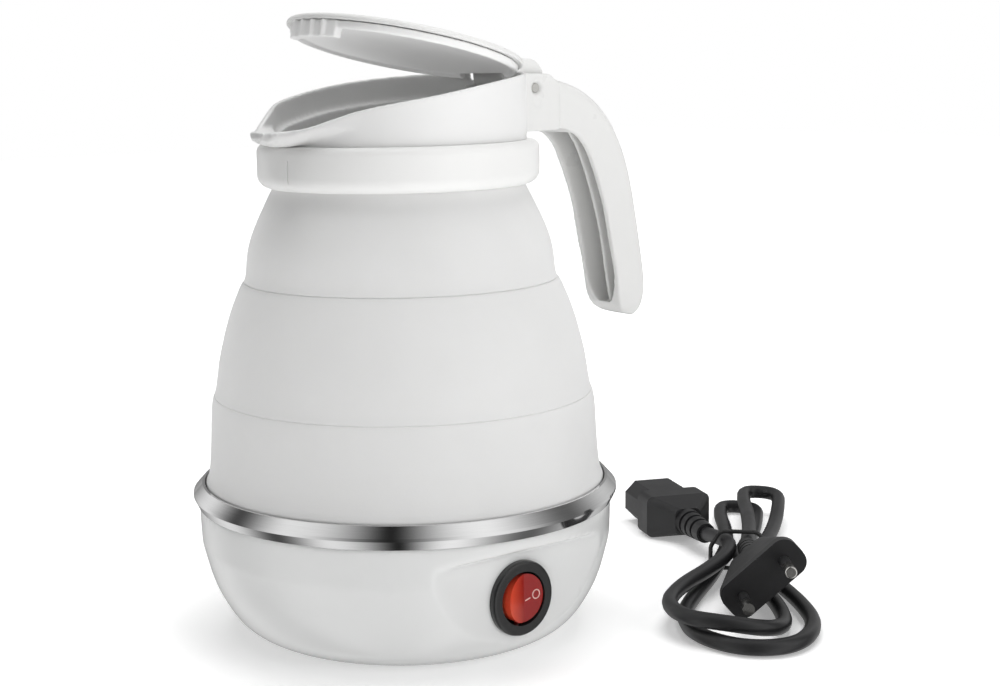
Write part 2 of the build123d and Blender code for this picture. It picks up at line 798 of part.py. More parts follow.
with BuildPart() as upper_bore:
    with BuildSketch(Plane.XY.offset(collar_top_z - ledge_drop)):
        Circle(rim_bore_r)
    extrude(amount=rim_h + ledge_drop)
    add(above_ledge, mode=Mode.INTERSECT)

skirt_low_z = collar_low_z - rim_skirt_drop
guide_wall_x = rim_bore_r - (guide_wall_reach + rim_wall) / 2 + edge_break
rim_step_z = neck_top_z + fit_gap
notch_low_z = hinge_z - tongue_low - hinge_notch_drop
with BuildPart() as rim_spout:
    with BuildSketch(Plane.XY.offset(rim_step_z)):
        Circle(rim_r)
    extrude(amount=rim_top_z - rim_step_z)
    add(beak_solid.part)
    with BuildSketch(Plane.XY.offset(skirt_low_z)):
        Circle(neck_in_r - fit_gap)
    extrude(amount=rim_step_z - skirt_low_z)
    # bore, and the wider bore above the sloping ledge
    with BuildSketch(Plane.XY.offset(skirt_low_z)):
        Circle(neck_bore_r)
    extrude(amount=rim_top_z - skirt_low_z, mode=Mode.SUBTRACT)
    add(upper_bore.part, mode=Mode.SUBTRACT)
    add(beak_channel.part, mode=Mode.SUBTRACT)
    # guide walls beside the lid's hinge tongue
    with BuildSketch(Plane.XY.offset(rim_top_z - guide_wall_h)):
        for side in (-1, 1):
            with Locations((guide_wall_x, side * (knuckle_half_w + hinge_side_gap + guide_wall_t / 2))):
                Rectangle(guide_wall_reach, guide_wall_t)
    extrude(amount=guide_wall_h)
    add(above_rim, mode=Mode.SUBTRACT)
    # holes and head seats for the handle's screws
    with BuildSketch(Plane.YZ.offset(neck_bore_r - rim_wall)):
        with Locations((-handle_screw_y, handle_screw_z), (handle_screw_y, handle_screw_z)):
            Circle(screw_shank_r + fit_gap)
    extrude(amount=2 * guide_wall_reach, mode=Mode.SUBTRACT)
    with BuildSketch(Plane.YZ.offset(neck_bore_r - rim_wall)):
        with Locations((-handle_screw_y, handle_screw_z), (handle_screw_y, handle_screw_z)):
            Circle(screw_head_r + fit_gap)
    extrude(amount=rim_wall + handle_screw_sink + handle_screw_head_t, mode=Mode.SUBTRACT)
    # notches for the tongue and for the lid's rear edge as it swings up
    with BuildSketch(Plane.XY.offset(notch_low_z)):
        with Locations((rim_r, 0)):
            Rectangle(2 * guide_wall_reach, 2 * (knuckle_half_w + hinge_side_gap))
    extrude(amount=overrun, mode=Mode.SUBTRACT)
    with BuildSketch(Plane.XY.offset(rim_top_z - rear_notch_drop)):
        with Locations((rim_r, 0)):
            Rectangle(4 * guide_wall_reach, 2 * handle_root_half_w)
    extrude(amount=overrun, mode=Mode.SUBTRACT)
    # room for the lid's rear half at each step of its swing
    for step in range(swing_steps + 1):
        lean = radians(lid_closed_pitch + lid_open_angle * step / swing_steps)
        swing_x_dir = (cos(lean), 0, -sin(lean))
        swing_z_dir = (sin(lean), 0, cos(lean))
        swing_plane = Plane((hinge_x, 0, hinge_z), x_dir=swing_x_dir, z_dir=swing_z_dir)
        with BuildSketch(swing_plane.offset(lid_rise - fit_gap)):
            with Locations((lid_centre_x, 0)):
                Circle(lid_r + seat_gap)
            with Locations((lid_centre_x - lid_r, 0)):
                Rectangle(2 * lid_r, 4 * lid_r, mode=Mode.SUBTRACT)
        extrude(amount=lid_edge_h + fit_gap, mode=Mode.SUBTRACT)
rim_spout.part.label = "rim_spout"
export_step(rim_spout.part, "parts/rim_spout.step")


# Lid, in its own plane through the hinge pin
pitch = radians(lid_rest_pitch)
lid_x_dir = (cos(pitch), 0, -sin(pitch))
lid_z_dir = (sin(pitch), 0, cos(pitch))
lid_plane = Plane((hinge_x, 0, hinge_z), x_dir=lid_x_dir, z_dir=lid_z_dir)
lid_middle = lid_plane.from_local_coords((lid_centre_x, 0, 0))
lid_section = Plane(lid_middle, x_dir=lid_x_dir, z_dir=(0, -1, 0))
hinge_section = Plane((hinge_x, 0, hinge_z), x_dir=lid_x_dir, z_dir=(0, -1, 0))
lid_axis = Axis(lid_middle, lid_z_dir)
lid_top = lid_rise + lid_edge_h
lid_crown = lid_top + lid_dome_h
edge_mid = lid_edge_round * (1 - cos(radians(45)))

with BuildPart() as lid_cover:
    with BuildSketch(lid_section):
        with BuildLine():
            TangentArc((0, lid_crown), (lid_r - lid_edge_round, lid_top), tangent=(1, 0))
            ThreePointArc(
                (lid_r - lid_edge_round, lid_top),
                (lid_r - edge_mid, lid_top - edge_mid),
                (lid_r, lid_top - lid_edge_round),
            )
            Polyline(
                (lid_r, lid_top - lid_edge_round),
                (lid_r, lid_rise),
                (lid_r - lid_t, lid_rise),
                (lid_r - lid_t, lid_top - lid_t),
            )
            TangentArc((0, lid_crown - lid_t), (lid_r - lid_t, lid_top - lid_t), tangent=(1, 0))
            Line((0, lid_crown - lid_t), (0, lid_crown))
        make_face()
    revolve(axis=lid_axis)
    # tongue and knuckle at the hinge
    with BuildSketch(hinge_section.offset(-knuckle_half_w)):
        with BuildLine():
            Spline(
                (-tongue_x, lid_top + tongue_rise),
                (-knuckle_r, knuckle_hump_z - tongue_low),
                (-tongue_low, knuckle_hump_z),
                (knuckle_r - tongue_low, knuckle_r + tongue_rise),
                (knuckle_r, 0),
                tangents=((1, 0.1), (0, -1)),
            )
            ThreePointArc(
                (knuckle_r, 0),
                (knuckle_r * cos(radians(60)), -knuckle_r * sin(radians(60))),
                (-knuckle_r * cos(radians(60)), -knuckle_r * sin(radians(60))),
            )
            Polyline(
                (-knuckle_r * cos(radians(60)), -knuckle_r * sin(radians(60))),
                (-tongue_x + lid_t, -tongue_low),
                (-tongue_x, lid_rise),
                (-tongue_x, lid_top + tongue_rise),
            )
        make_face()
    extrude(amount=2 * knuckle_half_w)
    with BuildSketch(hinge_section.offset(-overrun)):
        Circle(hinge_pin_r + pin_gap)
    extrude(amount=2 * overrun, mode=Mode.SUBTRACT)
lid_cover.part.label = "lid_cover"
export_step(lid_cover.part, "parts/lid_cover.step")

# Liner under the cover: skirt, recessed plate and the ribbed thumb tab
skirt_low = lid_rise - skirt_h
plate_low = skirt_low + liner_recess
liner_top = lid_rise - fit_gap
tab_low = lid_rise - tab_depth - tab_side_low
with BuildPart() as lid_liner:
    with BuildSketch(lid_section):
        with BuildLine():
            FilletPolyline(
                (skirt_r - skirt_wall, plate_low),
                (skirt_r - skirt_wall, skirt_low),
                (skirt_r, skirt_low),
                (skirt_r, liner_top),
                radius=liner_rim_round,
            )
            Polyline(
                (skirt_r, liner_top),
                (skirt_r - skirt_wall, liner_top),
                (skirt_r - skirt_wall, plate_low + liner_t),
                (0, plate_low + liner_t),
                (0, plate_low),
                (skirt_r - skirt_wall, plate_low),
            )
        make_face()
    revolve(axis=lid_axis)
    with BuildSketch(lid_plane.offset(skirt_low - lid_rise)):
        with Locations((lid_centre_x + skirt_r, 0)):
            Rectangle(2 * guide_wall_reach, 2 * (handle_root_half_w + seat_gap))
    extrude(amount=overrun, mode=Mode.SUBTRACT)
    # thumb tab: a curved plate with a rounded lower edge and upright grip ribs
    with BuildSketch(lid_plane.offset(liner_top)):
        with Locations((lid_centre_x, 0)):
            Circle(tab_r)
            Circle(tab_r - tab_t, mode=Mode.SUBTRACT)
        for i in range(tab_rib_count):
            rib_y = (i - (tab_rib_count - 1) / 2) * tab_rib_pitch
            with Locations((lid_centre_x - (tab_r ** 2 - rib_y ** 2) ** 0.5, rib_y)):
                Circle(tab_rib_r)
    tab_ring = extrude(amount=-tab_depth - 2 * skirt_h, mode=Mode.PRIVATE)
    with BuildSketch(Plane(lid_middle, x_dir=(0, 1, 0), z_dir=tuple(-c for c in lid_x_dir))):
        with BuildLine():
            ThreePointArc((-tab_half_w, -tab_side_low), (0, tab_low), (tab_half_w, -tab_side_low))
            Polyline(
                (tab_half_w, -tab_side_low),
                (tab_half_w, liner_top),
                (-tab_half_w, liner_top),
                (-tab_half_w, -tab_side_low),
            )
        make_face()
    tab_shape = extrude(amount=lid_r + overrun, mode=Mode.PRIVATE)
    add(tab_ring & tab_shape)
lid_liner.part.label = "lid_liner"
export_step(lid_liner.part, "parts/lid_liner.step")

with BuildPart() as hinge_pin:
    with BuildSketch(Plane.XZ.offset(-handle_root_half_w + pin_recess)):
        with Locations((hinge_x, hinge_z)):
            Circle(hinge_pin_r)
    extrude(amount=2 * (handle_root_half_w - pin_recess))
hinge_pin.part.label = "hinge_pin"
export_step(hinge_pin.part, "parts/hinge_pin.step")


# Handle: a moulded shell, open towards the body, with one rib down its channel
def handle_section(inner, outer, cut, half_w, round_share):
    """A D-shaped section across the handle, trimmed by cut at its inner and outer ends."""
    depth = hypot(outer[0] - inner[0], outer[1] - inner[1])
    out_x = (outer[0] - inner[0]) / depth
    out_z = (outer[1] - inner[1]) / depth
    plane = Plane((inner[0], 0, inner[1]), x_dir=(out_x, 0, out_z), z_dir=(-out_z, 0, out_x))
    far = depth - cut[1]
    corner = min(half_w, far - cut[0]) * round_share
    with BuildSketch(plane) as section:
        with BuildLine():
            Polyline((far - corner, -half_w), (cut[0], -half_w), (cut[0], half_w), (far - corner, half_w))
            RadiusArc((far - corner, half_w), (far, half_w - corner), corner)
            Line((far, half_w - corner), (far, corner - half_w))
            RadiusArc((far, corner - half_w), (far - corner, -half_w), corner)
        make_face()
    return section.sketch


handle_pairs = list(zip(handle_inner_xz, handle_outer_xz))
handle_sections = [
    handle_section(i, o, (0, 0), handle_half_w * share, handle_round_share)
    for (i, o), share in zip(handle_pairs, handle_w_shares)
]
channel_half_w = handle_half_w - handle_wall
channel_sections = [
    handle_section(i, o, (-handle_wall, handle_wall / share), channel_half_w * share, channel_round_share)
    for (i, o), share in zip(handle_pairs[1:-1], channel_w_shares)
]
rib_sections = [
    handle_section(i, o, (handle_rib_drop, handle_wall / 2), handle_rib_t / 2, rib_round_share)
    for i, o in handle_pairs[1:-1]
]
root_top_z = rim_top_z - rear_notch_drop + handle_root_rise
root_end_x = handle_inner_xz[0][0]

with BuildPart() as handle_channel:
    loft(channel_sections)
with BuildPart() as handle_rib:
    loft(rib_sections)
with BuildPart() as hinge_slot:
    with BuildSketch(Plane.XZ.offset(-knuckle_half_w - hinge_side_gap)):
        with Locations((hinge_x, hinge_z)):
            Circle(hinge_slot_r)
        with Locations((hinge_x, hinge_z - knuckle_r / 3 - overrun)):
            Rectangle(overrun, 2 * overrun, mode=Mode.SUBTRACT)
        with Locations((hinge_x, hinge_z)):
            Circle(hinge_low_slot_r)
        with Locations((rim_r, hinge_z + hinge_low_slot_r)):
            Rectangle(2 * (hinge_x - rim_r), 4 * hinge_low_slot_r)
    extrude(amount=2 * (knuckle_half_w + hinge_side_gap))

with BuildPart() as handle_shell:
    loft(handle_sections)
    # wider root with the two hinge ears
    with BuildSketch(Plane.XZ.offset(-handle_root_half_w)) as root_side:
        with BuildLine():
            Polyline(
                (rim_r - rim_wall, root_top_z),
                (hinge_x + knuckle_r, root_top_z - edge_break),
                (root_end_x + handle_wall, handle_outer_xz[0][1] - handle_wall),
                (root_end_x + handle_wall, handle_root_low_z),
                (rim_r - rim_wall, handle_root_low_z),
                close=True,
            )
        make_face()
        fillet(root_side.vertices().group_by(Axis.X)[-1], radius=handle_inner_round)
    extrude(amount=2 * handle_root_half_w)
    add(handle_channel.part, mode=Mode.SUBTRACT)
    add(handle_rib.part)
    add(hinge_slot.part, mode=Mode.SUBTRACT)
    with BuildSketch(Plane.XY.offset(handle_root_low_z - overrun)):
        Circle(rim_r + fit_gap)
    extrude(amount=2 * overrun, mode=Mode.SUBTRACT)
    # pin bore, the shallow dimple round its end and the small locating bump below it
    with BuildSketch(Plane.XZ.offset(-overrun)):
        with Locations((hinge_x, hinge_z)):
            Circle(hinge_pin_r)
    extrude(amount=2 * overrun, mode=Mode.SUBTRACT)
    with BuildSketch(Plane.XZ.offset(handle_root_half_w)):
        with Locations((hinge_x, hinge_z)):
            Circle(dimple_r)
    extrude(amount=-pin_recess, mode=Mode.SUBTRACT)
    with BuildSketch(Plane.XZ.offset(handle_root_half_w)):
        with Locations((hinge_x, hinge_z - bump_drop)):
            Circle(bump_r)
    extrude(amount=bump_t)
    with BuildSketch(Plane.YZ.offset(neck_bore_r)):
        with Locations((-handle_screw_y, handle_screw_z), (handle_screw_y, handle_screw_z)):
            Circle(screw_shank_r)
    extrude(amount=handle_screw_len + handle_screw_head_t, mode=Mode.SUBTRACT)
handle_shell.part.label = "handle_shell"
export_step(handle_shell.part, "parts/handle_shell.step")

head_x = neck_bore_r + handle_screw_sink
with BuildPart() as handle_screws:
    with BuildSketch(Plane.YZ.offset(head_x)):
        with Locations((-handle_screw_y, handle_screw_z), (handle_screw_y, handle_screw_z)):
            Circle(screw_head_r)
    extrude(amount=handle_screw_head_t)
    with BuildSketch(Plane.YZ.offset(head_x)):
        with Locations((-handle_screw_y, handle_screw_z), (handle_screw_y, handle_screw_z)):
            Circle(screw_shank_r)
    extrude(amount=handle_screw_len)
handle_screws.part.label = "handle_screws"
export_step(handle_screws.part, "parts/handle_screws.step")


# Round rocker switch in the front panel
with BuildPart() as switch_housing:
    with BuildSketch(Plane.XZ.offset(panel_y)):
        with Locations((0, panel_centre_z)):
            Circle(bezel_r)
    extrude(amount=bezel_t)
    fillet(switch_housing.edges().group_by(Axis.Y)[0], radius=bezel_t / 2)
    with BuildSketch(Plane.XZ.offset(panel_y)):
        with Locations((0, panel_centre_z)):
            Circle(switch_body_r)
    extrude(amount=-switch_body_len)
    with BuildSketch(Plane.XZ.offset(panel_y - base_wall - fit_gap)):
        with Locations((0, panel_centre_z)):
            Rectangle(2 * (switch_body_r + snap_t), snap_w)
    extrude(amount=-snap_len)
    with BuildSketch(Plane.XZ.offset(panel_y - switch_pocket_depth)):
        with Locations((0, panel_centre_z)):
            Circle(bezel_bore_r)
    extrude(amount=overrun, mode=Mode.SUBTRACT)
    pivot_y = panel_y - rocker_pivot_in
    with BuildSketch(Plane.XY.offset(panel_centre_z - rocker_r - rocker_pin_len - fit_gap)):
        with Locations((0, -pivot_y)):
            Circle(rocker_pin_r + pin_gap)
    extrude(amount=2 * (rocker_r + rocker_pin_len + fit_gap), mode=Mode.SUBTRACT)
switch_housing.part.label = "switch_housing"
export_step(switch_housing.part, "parts/switch_housing.step")

tilt = radians(rocker_tilt)
rocker_x_dir = (cos(tilt), sin(tilt), 0)
rocker_plane = Plane((0, -pivot_y, panel_centre_z), x_dir=rocker_x_dir, z_dir=(0, 0, 1))
rocker_face = Plane((0, -pivot_y, panel_centre_z), x_dir=rocker_x_dir, z_dir=(sin(tilt), -cos(tilt), 0))
rocker_valley = rocker_crown - rocker_r * tan(tilt)
rocker_back = rocker_depth - rocker_crown
with BuildPart() as switch_rocker:
    with BuildSketch(rocker_face.offset(-rocker_back)):
        Circle(rocker_r)
    extrude(amount=rocker_depth)
    with BuildSketch(rocker_plane.offset(-rocker_r - fit_gap)):
        with BuildLine():
            Polyline(
                (-rocker_r, -rocker_crown),
                (0, -rocker_valley),
                (rocker_r, -rocker_crown),
                (0, -rocker_crown - rocker_depth),
                close=True,
            )
        make_face()
    extrude(amount=2 * (rocker_r + fit_gap), mode=Mode.SUBTRACT)
    with BuildSketch(rocker_plane.offset(-rocker_r - rocker_pin_len)):
        Circle(rocker_pin_r)
    extrude(amount=2 * (rocker_r + rocker_pin_len))
    with BuildSketch(rocker_plane.offset(-lamp_len / 2)):
        with Locations((-rocker_r / 2, 0)):
            Circle(lamp_r)
    extrude(amount=lamp_len, mode=Mode.SUBTRACT)
switch_rocker.part.label = "switch_rocker"
export_step(switch_rocker.part, "parts/switch_rocker.step")

with BuildPart() as neon_lamp:
    with BuildSketch(rocker_plane.offset(-lamp_len / 2)):
        with Locations((-rocker_r / 2, 0)):
            Circle(lamp_r)
    extrude(amount=lamp_len)
neon_lamp.part.label = "neon_lamp"
export_step(neon_lamp.part, "parts/neon_lamp.step")

terminal_y = panel_y - switch_body_len
blade_places = [(i * terminal_pitch, panel_centre_z) for i in (-1, 0, 1)]
with BuildPart() as switch_terminals:
    with BuildSketch(Plane.XZ.offset(terminal_y)):
        with Locations(*blade_places):
            Rectangle(terminal_t, terminal_w)
    extrude(amount=-terminal_l)
switch_terminals.part.label = "switch_terminals"
export_step(switch_terminals.part, "parts/switch_terminals.step")

# Appliance inlet in the back panel
inlet_mouth_y = panel_y + inlet_flange_t
inlet_floor_y = inlet_mouth_y - inlet_depth
inlet_back_y = inlet_floor_y - inlet_shell
inlet_places = [(i * inlet_pin_pitch, inlet_centre_z + (1 - abs(i)) * inlet_pin_rise) for i in (-1, 0, 1)]
with BuildPart() as inlet_socket:
    with BuildSketch(Plane.XZ.offset(-panel_y)):
        with Locations((0, inlet_centre_z)):
            RectangleRounded(inlet_flange_w, inlet_flange_h, inlet_flange_t)
    extrude(amount=-inlet_flange_t)
    with BuildSketch(Plane.XZ.offset(-inlet_back_y)):
        with Locations((0, inlet_centre_z)):
            Rectangle(inlet_w + 2 * inlet_shell, inlet_h + 2 * inlet_shell)
    extrude(amount=inlet_back_y - panel_y)
    with BuildSketch(Plane.XZ.offset(-inlet_floor_y)) as cavity:
        with Locations((0, inlet_centre_z)):
            Rectangle(inlet_w, inlet_h)
        chamfer(cavity.vertices().group_by(Axis.Z)[0], length=inlet_corner)
    extrude(amount=-2 * inlet_depth, mode=Mode.SUBTRACT)
    with BuildSketch(Plane.XZ.offset(-inlet_back_y)):
        with Locations(*inlet_places):
            Rectangle(inlet_pin_t, inlet_pin_w)
    extrude(amount=-2 * inlet_shell, mode=Mode.SUBTRACT)
inlet_socket.part.label = "inlet_socket"
export_step(inlet_socket.part, "parts/inlet_socket.step")

inlet_tail_y = inlet_back_y - inlet_tail_len
with BuildPart() as inlet_pins:
    with BuildSketch(Plane.XZ.offset(-inlet_tail_y)):
        with Locations(*inlet_places):
            Rectangle(inlet_pin_t, inlet_pin_w)
    extrude(amount=inlet_tail_y - inlet_floor_y - inlet_pin_len)
    fillet(inlet_pins.edges().group_by(Axis.Y)[-1], radius=edge_break)
inlet_pins.part.label = "inlet_pins"
export_step(inlet_pins.part, "parts/inlet_pins.step")


# Internal wires
def tube_along(points, tube_r, bends):
    """One round tube along straight runs joined by arcs."""
    start = Vector(*points[0])
    with BuildPart() as tube:
        with BuildLine():
            FilletPolyline(*points, radius=bends)
        with BuildSketch(Plane(start, z_dir=Vector(*points[1]) - start)):
            Circle(tube_r)
        sweep()
    return tube.part


switch_tip_y = terminal_l - terminal_y
earth_spot = (thermostat_ear_l / 2 + wire_r, thermostat_ear_l / 2)
pin_low_z = element_tail_z - element_cold_pin_len
leg_low_z = thermostat_low_z - thermostat_leg_l
leg_y = thermostat_r / 2
fuse_tip_x = fuse_len / 2 + fuse_lead_len - fuse_lead_r
fuse_under_z = fuse_z - fuse_lead_r
wire_turn = 2 * wire_bend
live_places = (
    (
        (-inlet_pin_pitch, inlet_tail_y, inlet_centre_z),
        (-inlet_pin_pitch, inlet_tail_y - wire_turn, inlet_centre_z),
        (-inlet_pin_pitch, spreader_r / 2, wire_mid_z),
        (-inlet_pin_pitch, -spreader_r / 2, wire_mid_z),
        (-inlet_pin_pitch, switch_tip_y + wire_turn, panel_centre_z),
        (-inlet_pin_pitch, switch_tip_y, panel_centre_z),
    ),
    (
        (0, switch_tip_y, panel_centre_z),
        (0, switch_tip_y + wire_turn, panel_centre_z),
        (0, -leg_y - wire_turn, wire_low_z),
        (0, -leg_y, wire_low_z),
        (0, -leg_y, leg_low_z),
    ),
    (
        (0, leg_y, leg_low_z),
        (0, leg_y, wire_low_z),
        (element_end_x, element_end_y, wire_low_z),
        (element_end_x, element_end_y, pin_low_z),
    ),
)
neutral_places = (
    (
        (inlet_pin_pitch, inlet_tail_y, inlet_centre_z),
        (inlet_pin_pitch, inlet_tail_y - wire_turn, inlet_centre_z),
        (element_r - wire_turn / 2, fuse_len, wire_mid_z),
        (fuse_tip_x, fuse_y, wire_low_z),
        (fuse_tip_x, fuse_y, fuse_under_z),
    ),
    (
        (-fuse_tip_x, fuse_y, fuse_under_z),
        (-fuse_tip_x, fuse_y, wire_low_z),
        (element_end_x, -element_end_y, wire_low_z),
        (element_end_x, -element_end_y, pin_low_z),
    ),
    (
        (terminal_pitch, switch_tip_y, panel_centre_z),
        (terminal_pitch, switch_tip_y + wire_turn, panel_centre_z),
        (fuse_tip_x - 3 * wire_r, fuse_y, panel_centre_z),
        (fuse_tip_x - 3 * wire_r, fuse_y, fuse_under_z),
    ),
)
earth_z = inlet_centre_z + inlet_pin_rise
earth_places = (
    (0, inlet_tail_y, earth_z),
    (0, inlet_tail_y - wire_turn, earth_z),
    (earth_spot[0], earth_spot[1], earth_z),
    (earth_spot[0], earth_spot[1], spreader_low_z),
)
live_tubes = [tube_along(points, wire_r, wire_bend) for points in live_places]
neutral_tubes = [tube_along(points, wire_r, wire_bend) for points in neutral_places]
earth_tube = tube_along(earth_places, wire_r, wire_bend)

with BuildPart() as live_wires:
    add(live_tubes)
live_wires.part.label = "live_wires"
export_step(live_wires.part, "parts/live_wires.step")

with BuildPart() as neutral_wires:
    add(neutral_tubes)
neutral_wires.part.label = "neutral_wires"
export_step(neutral_wires.part, "parts/neutral_wires.step")

with BuildPart() as earth_wire:
    add(earth_tube)
earth_wire.part.label = "earth_wire"
export_step(earth_wire.part, "parts/earth_wire.step")

# Insulating boots over the blades and sleeves over the element's pins
with BuildPart() as wire_boots:
    with BuildSketch(Plane.XZ.offset(terminal_y - fit_gap)):
        with Locations(*blade_places):
            RectangleRounded(2 * sleeve_r, terminal_w + 2 * terminal_t, edge_break)
    extrude(amount=-sleeve_len - terminal_t)
    with BuildSketch(Plane.XZ.offset(-inlet_back_y + fit_gap)):
        with Locations(*inlet_places):
            RectangleRounded(2 * sleeve_r, terminal_w + 2 * terminal_t, edge_break)
    extrude(amount=sleeve_len)
    with BuildSketch(Plane.XZ.offset(terminal_y)):
        with Locations(*blade_places):
            Rectangle(terminal_t, terminal_w)
    extrude(amount=-terminal_l, mode=Mode.SUBTRACT)
    with BuildSketch(Plane.XZ.offset(-inlet_back_y)):
        with Locations(*inlet_places):
            Rectangle(inlet_pin_t, inlet_pin_w)
    extrude(amount=inlet_tail_len, mode=Mode.SUBTRACT)
    with BuildSketch(Plane.XZ.offset(terminal_y - terminal_l)):
        with Locations(*blade_places):
            Circle(wire_r)
    extrude(amount=-sleeve_len, mode=Mode.SUBTRACT)
    with BuildSketch(Plane.XZ.offset(-inlet_tail_y)):
        with Locations(*inlet_places):
            Circle(wire_r)
    extrude(amount=sleeve_len, mode=Mode.SUBTRACT)
    with BuildSketch(Plane.XY.offset(pin_low_z - sleeve_r)):
        with Locations((element_end_x, element_end_y), (element_end_x, -element_end_y)):
            Circle(sleeve_r)
            Circle(wire_r, mode=Mode.SUBTRACT)
    extrude(amount=sleeve_r + element_cold_pin_len - fit_gap)
wire_boots.part.label = "wire_boots"
export_step(wire_boots.part, "parts/wire_boots.step")


# Power lead: its frame on the table, and one unbroken tube along the whole route
heading = radians(lead_heading)
along = Vector(cos(heading), sin(heading), 0)
across = Vector(sin(heading), -cos(heading), 0)
up = Vector(0, 0, 1)
lead_origin = Vector(lead_near_x, lead_near_y, 0)


def lead_spot(u, v, w):
    return lead_origin + across * u + along * v + up * w


lead_points = [lead_spot(*p) for p in lead_route]
lead_runs = [b - a for a, b in zip(lead_points, lead_points[1:])]
lead_bends = []
for run_in, run_out in zip(lead_runs, lead_runs[1:]):
    half_turn = radians(run_in.get_angle(run_out)) / 2
    shorter = min(run_in.length, run_out.length)
    lead_bends.append(min(lead_bend_share * shorter / tan(half_turn), lead_bend_most))
print("lead arcs, smallest radius %.1f mm" % min(lead_bends))
lead_tube = tube_along([tuple(p) for p in lead_points], lead_r, lead_bends)

with BuildPart() as lead_cord:
    add(lead_tube)
lead_cord.part.label = "lead_cord"
export_step(lead_cord.part, "parts/lead_cord.step")

# The cord's own clearance and length, measured on its centre line
with BuildLine() as lead_line:
    FilletPolyline(*[tuple(p) for p in lead_points], radius=lead_bends)
lead_wire = lead_line.wires()[0]
lead_length = lead_wire.length
lead_steps = int(lead_length / lead_r)
lead_samples = [lead_wire @ (i / lead_steps) for i in range(lead_steps + 1)]
near_steps = int(gap_skip / lead_r)
lead_gap = min(
    (lead_samples[i] - lead_samples[j]).length
    for i in range(lead_steps + 1) for j in range(i + near_steps, lead_steps + 1)
) - 2 * lead_r
lead_section = lead_r * lead_r * radians(180)
print("lead length %.1f mm, least gap %.2f mm" % (lead_length, lead_gap))
print("lead volume %.0f, section x length %.0f" % (lead_cord.part.volume, lead_section * lead_length))

# Connector: strain relief, grip and mouth in line, flat on the table
connector_run = lead_points[0] - lead_points[1]
connector_dir = Vector(connector_run.X, connector_run.Y, 0).normalized()
connector_start = lead_points[0] + connector_dir * relief_gap


def connector_plane(distance):
    origin = connector_start + connector_dir * distance
    return Plane(origin, x_dir=up.cross(connector_dir), z_dir=connector_dir)


with BuildPart() as connector_strain_relief:
    with BuildSketch(connector_plane(0)):
        Circle(connector_relief_end_r)
    with BuildSketch(connector_plane(connector_relief_len)):
        Circle(connector_relief_r)
    loft()
    for i in range(relief_groove_count):
        with BuildSketch(connector_plane(connector_relief_len * (i + 1) / (relief_groove_count + 1))):
            Circle(connector_relief_r + relief_groove)
            Circle(connector_relief_end_r - relief_groove / 2, mode=Mode.SUBTRACT)
        extrude(amount=relief_groove_w, mode=Mode.SUBTRACT)
connector_strain_relief.part.label = "connector_strain_relief"
export_step(connector_strain_relief.part, "parts/connector_strain_relief.step")

grip_end = connector_relief_len + connector_grip_len
mouth_end = grip_end + connector_mouth_len
slot_places = [(i * inlet_pin_pitch, (1 - abs(i)) * inlet_pin_rise) for i in (-1, 0, 1)]
with BuildPart() as connector_body:
    with BuildSketch(connector_plane(connector_relief_len)):
        RectangleRounded(2 * connector_relief_r, 2 * connector_relief_r, connector_relief_r / 2)
    with BuildSketch(connector_plane(connector_relief_len + connector_grip_len / 2)):
        RectangleRounded(connector_grip_w, connector_grip_h, connector_relief_r / 2)
    loft()
    with BuildSketch(connector_plane(connector_relief_len + connector_grip_len / 2)):
        RectangleRounded(connector_grip_w, connector_grip_h, connector_relief_r / 2)
    extrude(amount=connector_grip_len / 2)
    with BuildSketch(connector_plane(grip_end)) as mouth:
        Rectangle(connector_w, connector_h)
        chamfer(mouth.vertices().group_by(Axis.Z)[0], length=connector_corner)
    extrude(amount=connector_mouth_len)
    with BuildSketch(connector_plane(mouth_end)):
        with Locations(*slot_places):
            Rectangle(connector_slot_t, connector_slot_w)
    extrude(amount=-connector_slot_depth, mode=Mode.SUBTRACT)
connector_body.part.label = "connector_body"
export_step(connector_body.part, "parts/connector_body.step")

with BuildPart() as connector_contacts:
    with BuildSketch(connector_plane(mouth_end - connector_slot_depth)):
        with Locations(*slot_places):
            Rectangle(connector_slot_t, connector_slot_w)
            Rectangle(inlet_pin_t + fit_gap, inlet_pin_w + fit_gap, mode=Mode.SUBTRACT)
    extrude(amount=connector_contact_len)
connector_contacts.part.label = "connector_contacts"
export_step(connector_contacts.part, "parts/connector_contacts.step")

# Plug: strain relief, flared body with its flange, two insulated pins
turn = heading + radians(180 + plug_turn)
plug_len = plug_relief_len + plug_body_len + plug_pin_len
plug_dir = Vector(cos(turn), sin(turn), plug_lift / plug_len).normalized()
plug_side = up.cross(plug_dir).normalized()
plug_up = plug_dir.cross(plug_side)
roll = radians(plug_roll)
plug_wide = plug_side * cos(roll) + plug_up * sin(roll)
plug_start = lead_points[-1] + plug_dir * relief_gap


def plug_plane(distance):
    return Plane(plug_start + plug_dir * distance, x_dir=plug_wide, z_dir=plug_dir)


with BuildPart() as plug_strain_relief:
    with BuildSketch(plug_plane(0)):
        Circle(plug_relief_end_r)
    with BuildSketch(plug_plane(plug_relief_len)):
        Circle(plug_relief_r)
    loft()
    for i in range(relief_groove_count):
        with BuildSketch(plug_plane(plug_relief_len * (i + 1) / (relief_groove_count + 1))):
            Circle(plug_relief_r + relief_groove)
            Circle(plug_relief_end_r - relief_groove / 2, mode=Mode.SUBTRACT)
        extrude(amount=relief_groove_w, mode=Mode.SUBTRACT)
plug_strain_relief.part.label = "plug_strain_relief"
export_step(plug_strain_relief.part, "parts/plug_strain_relief.step")

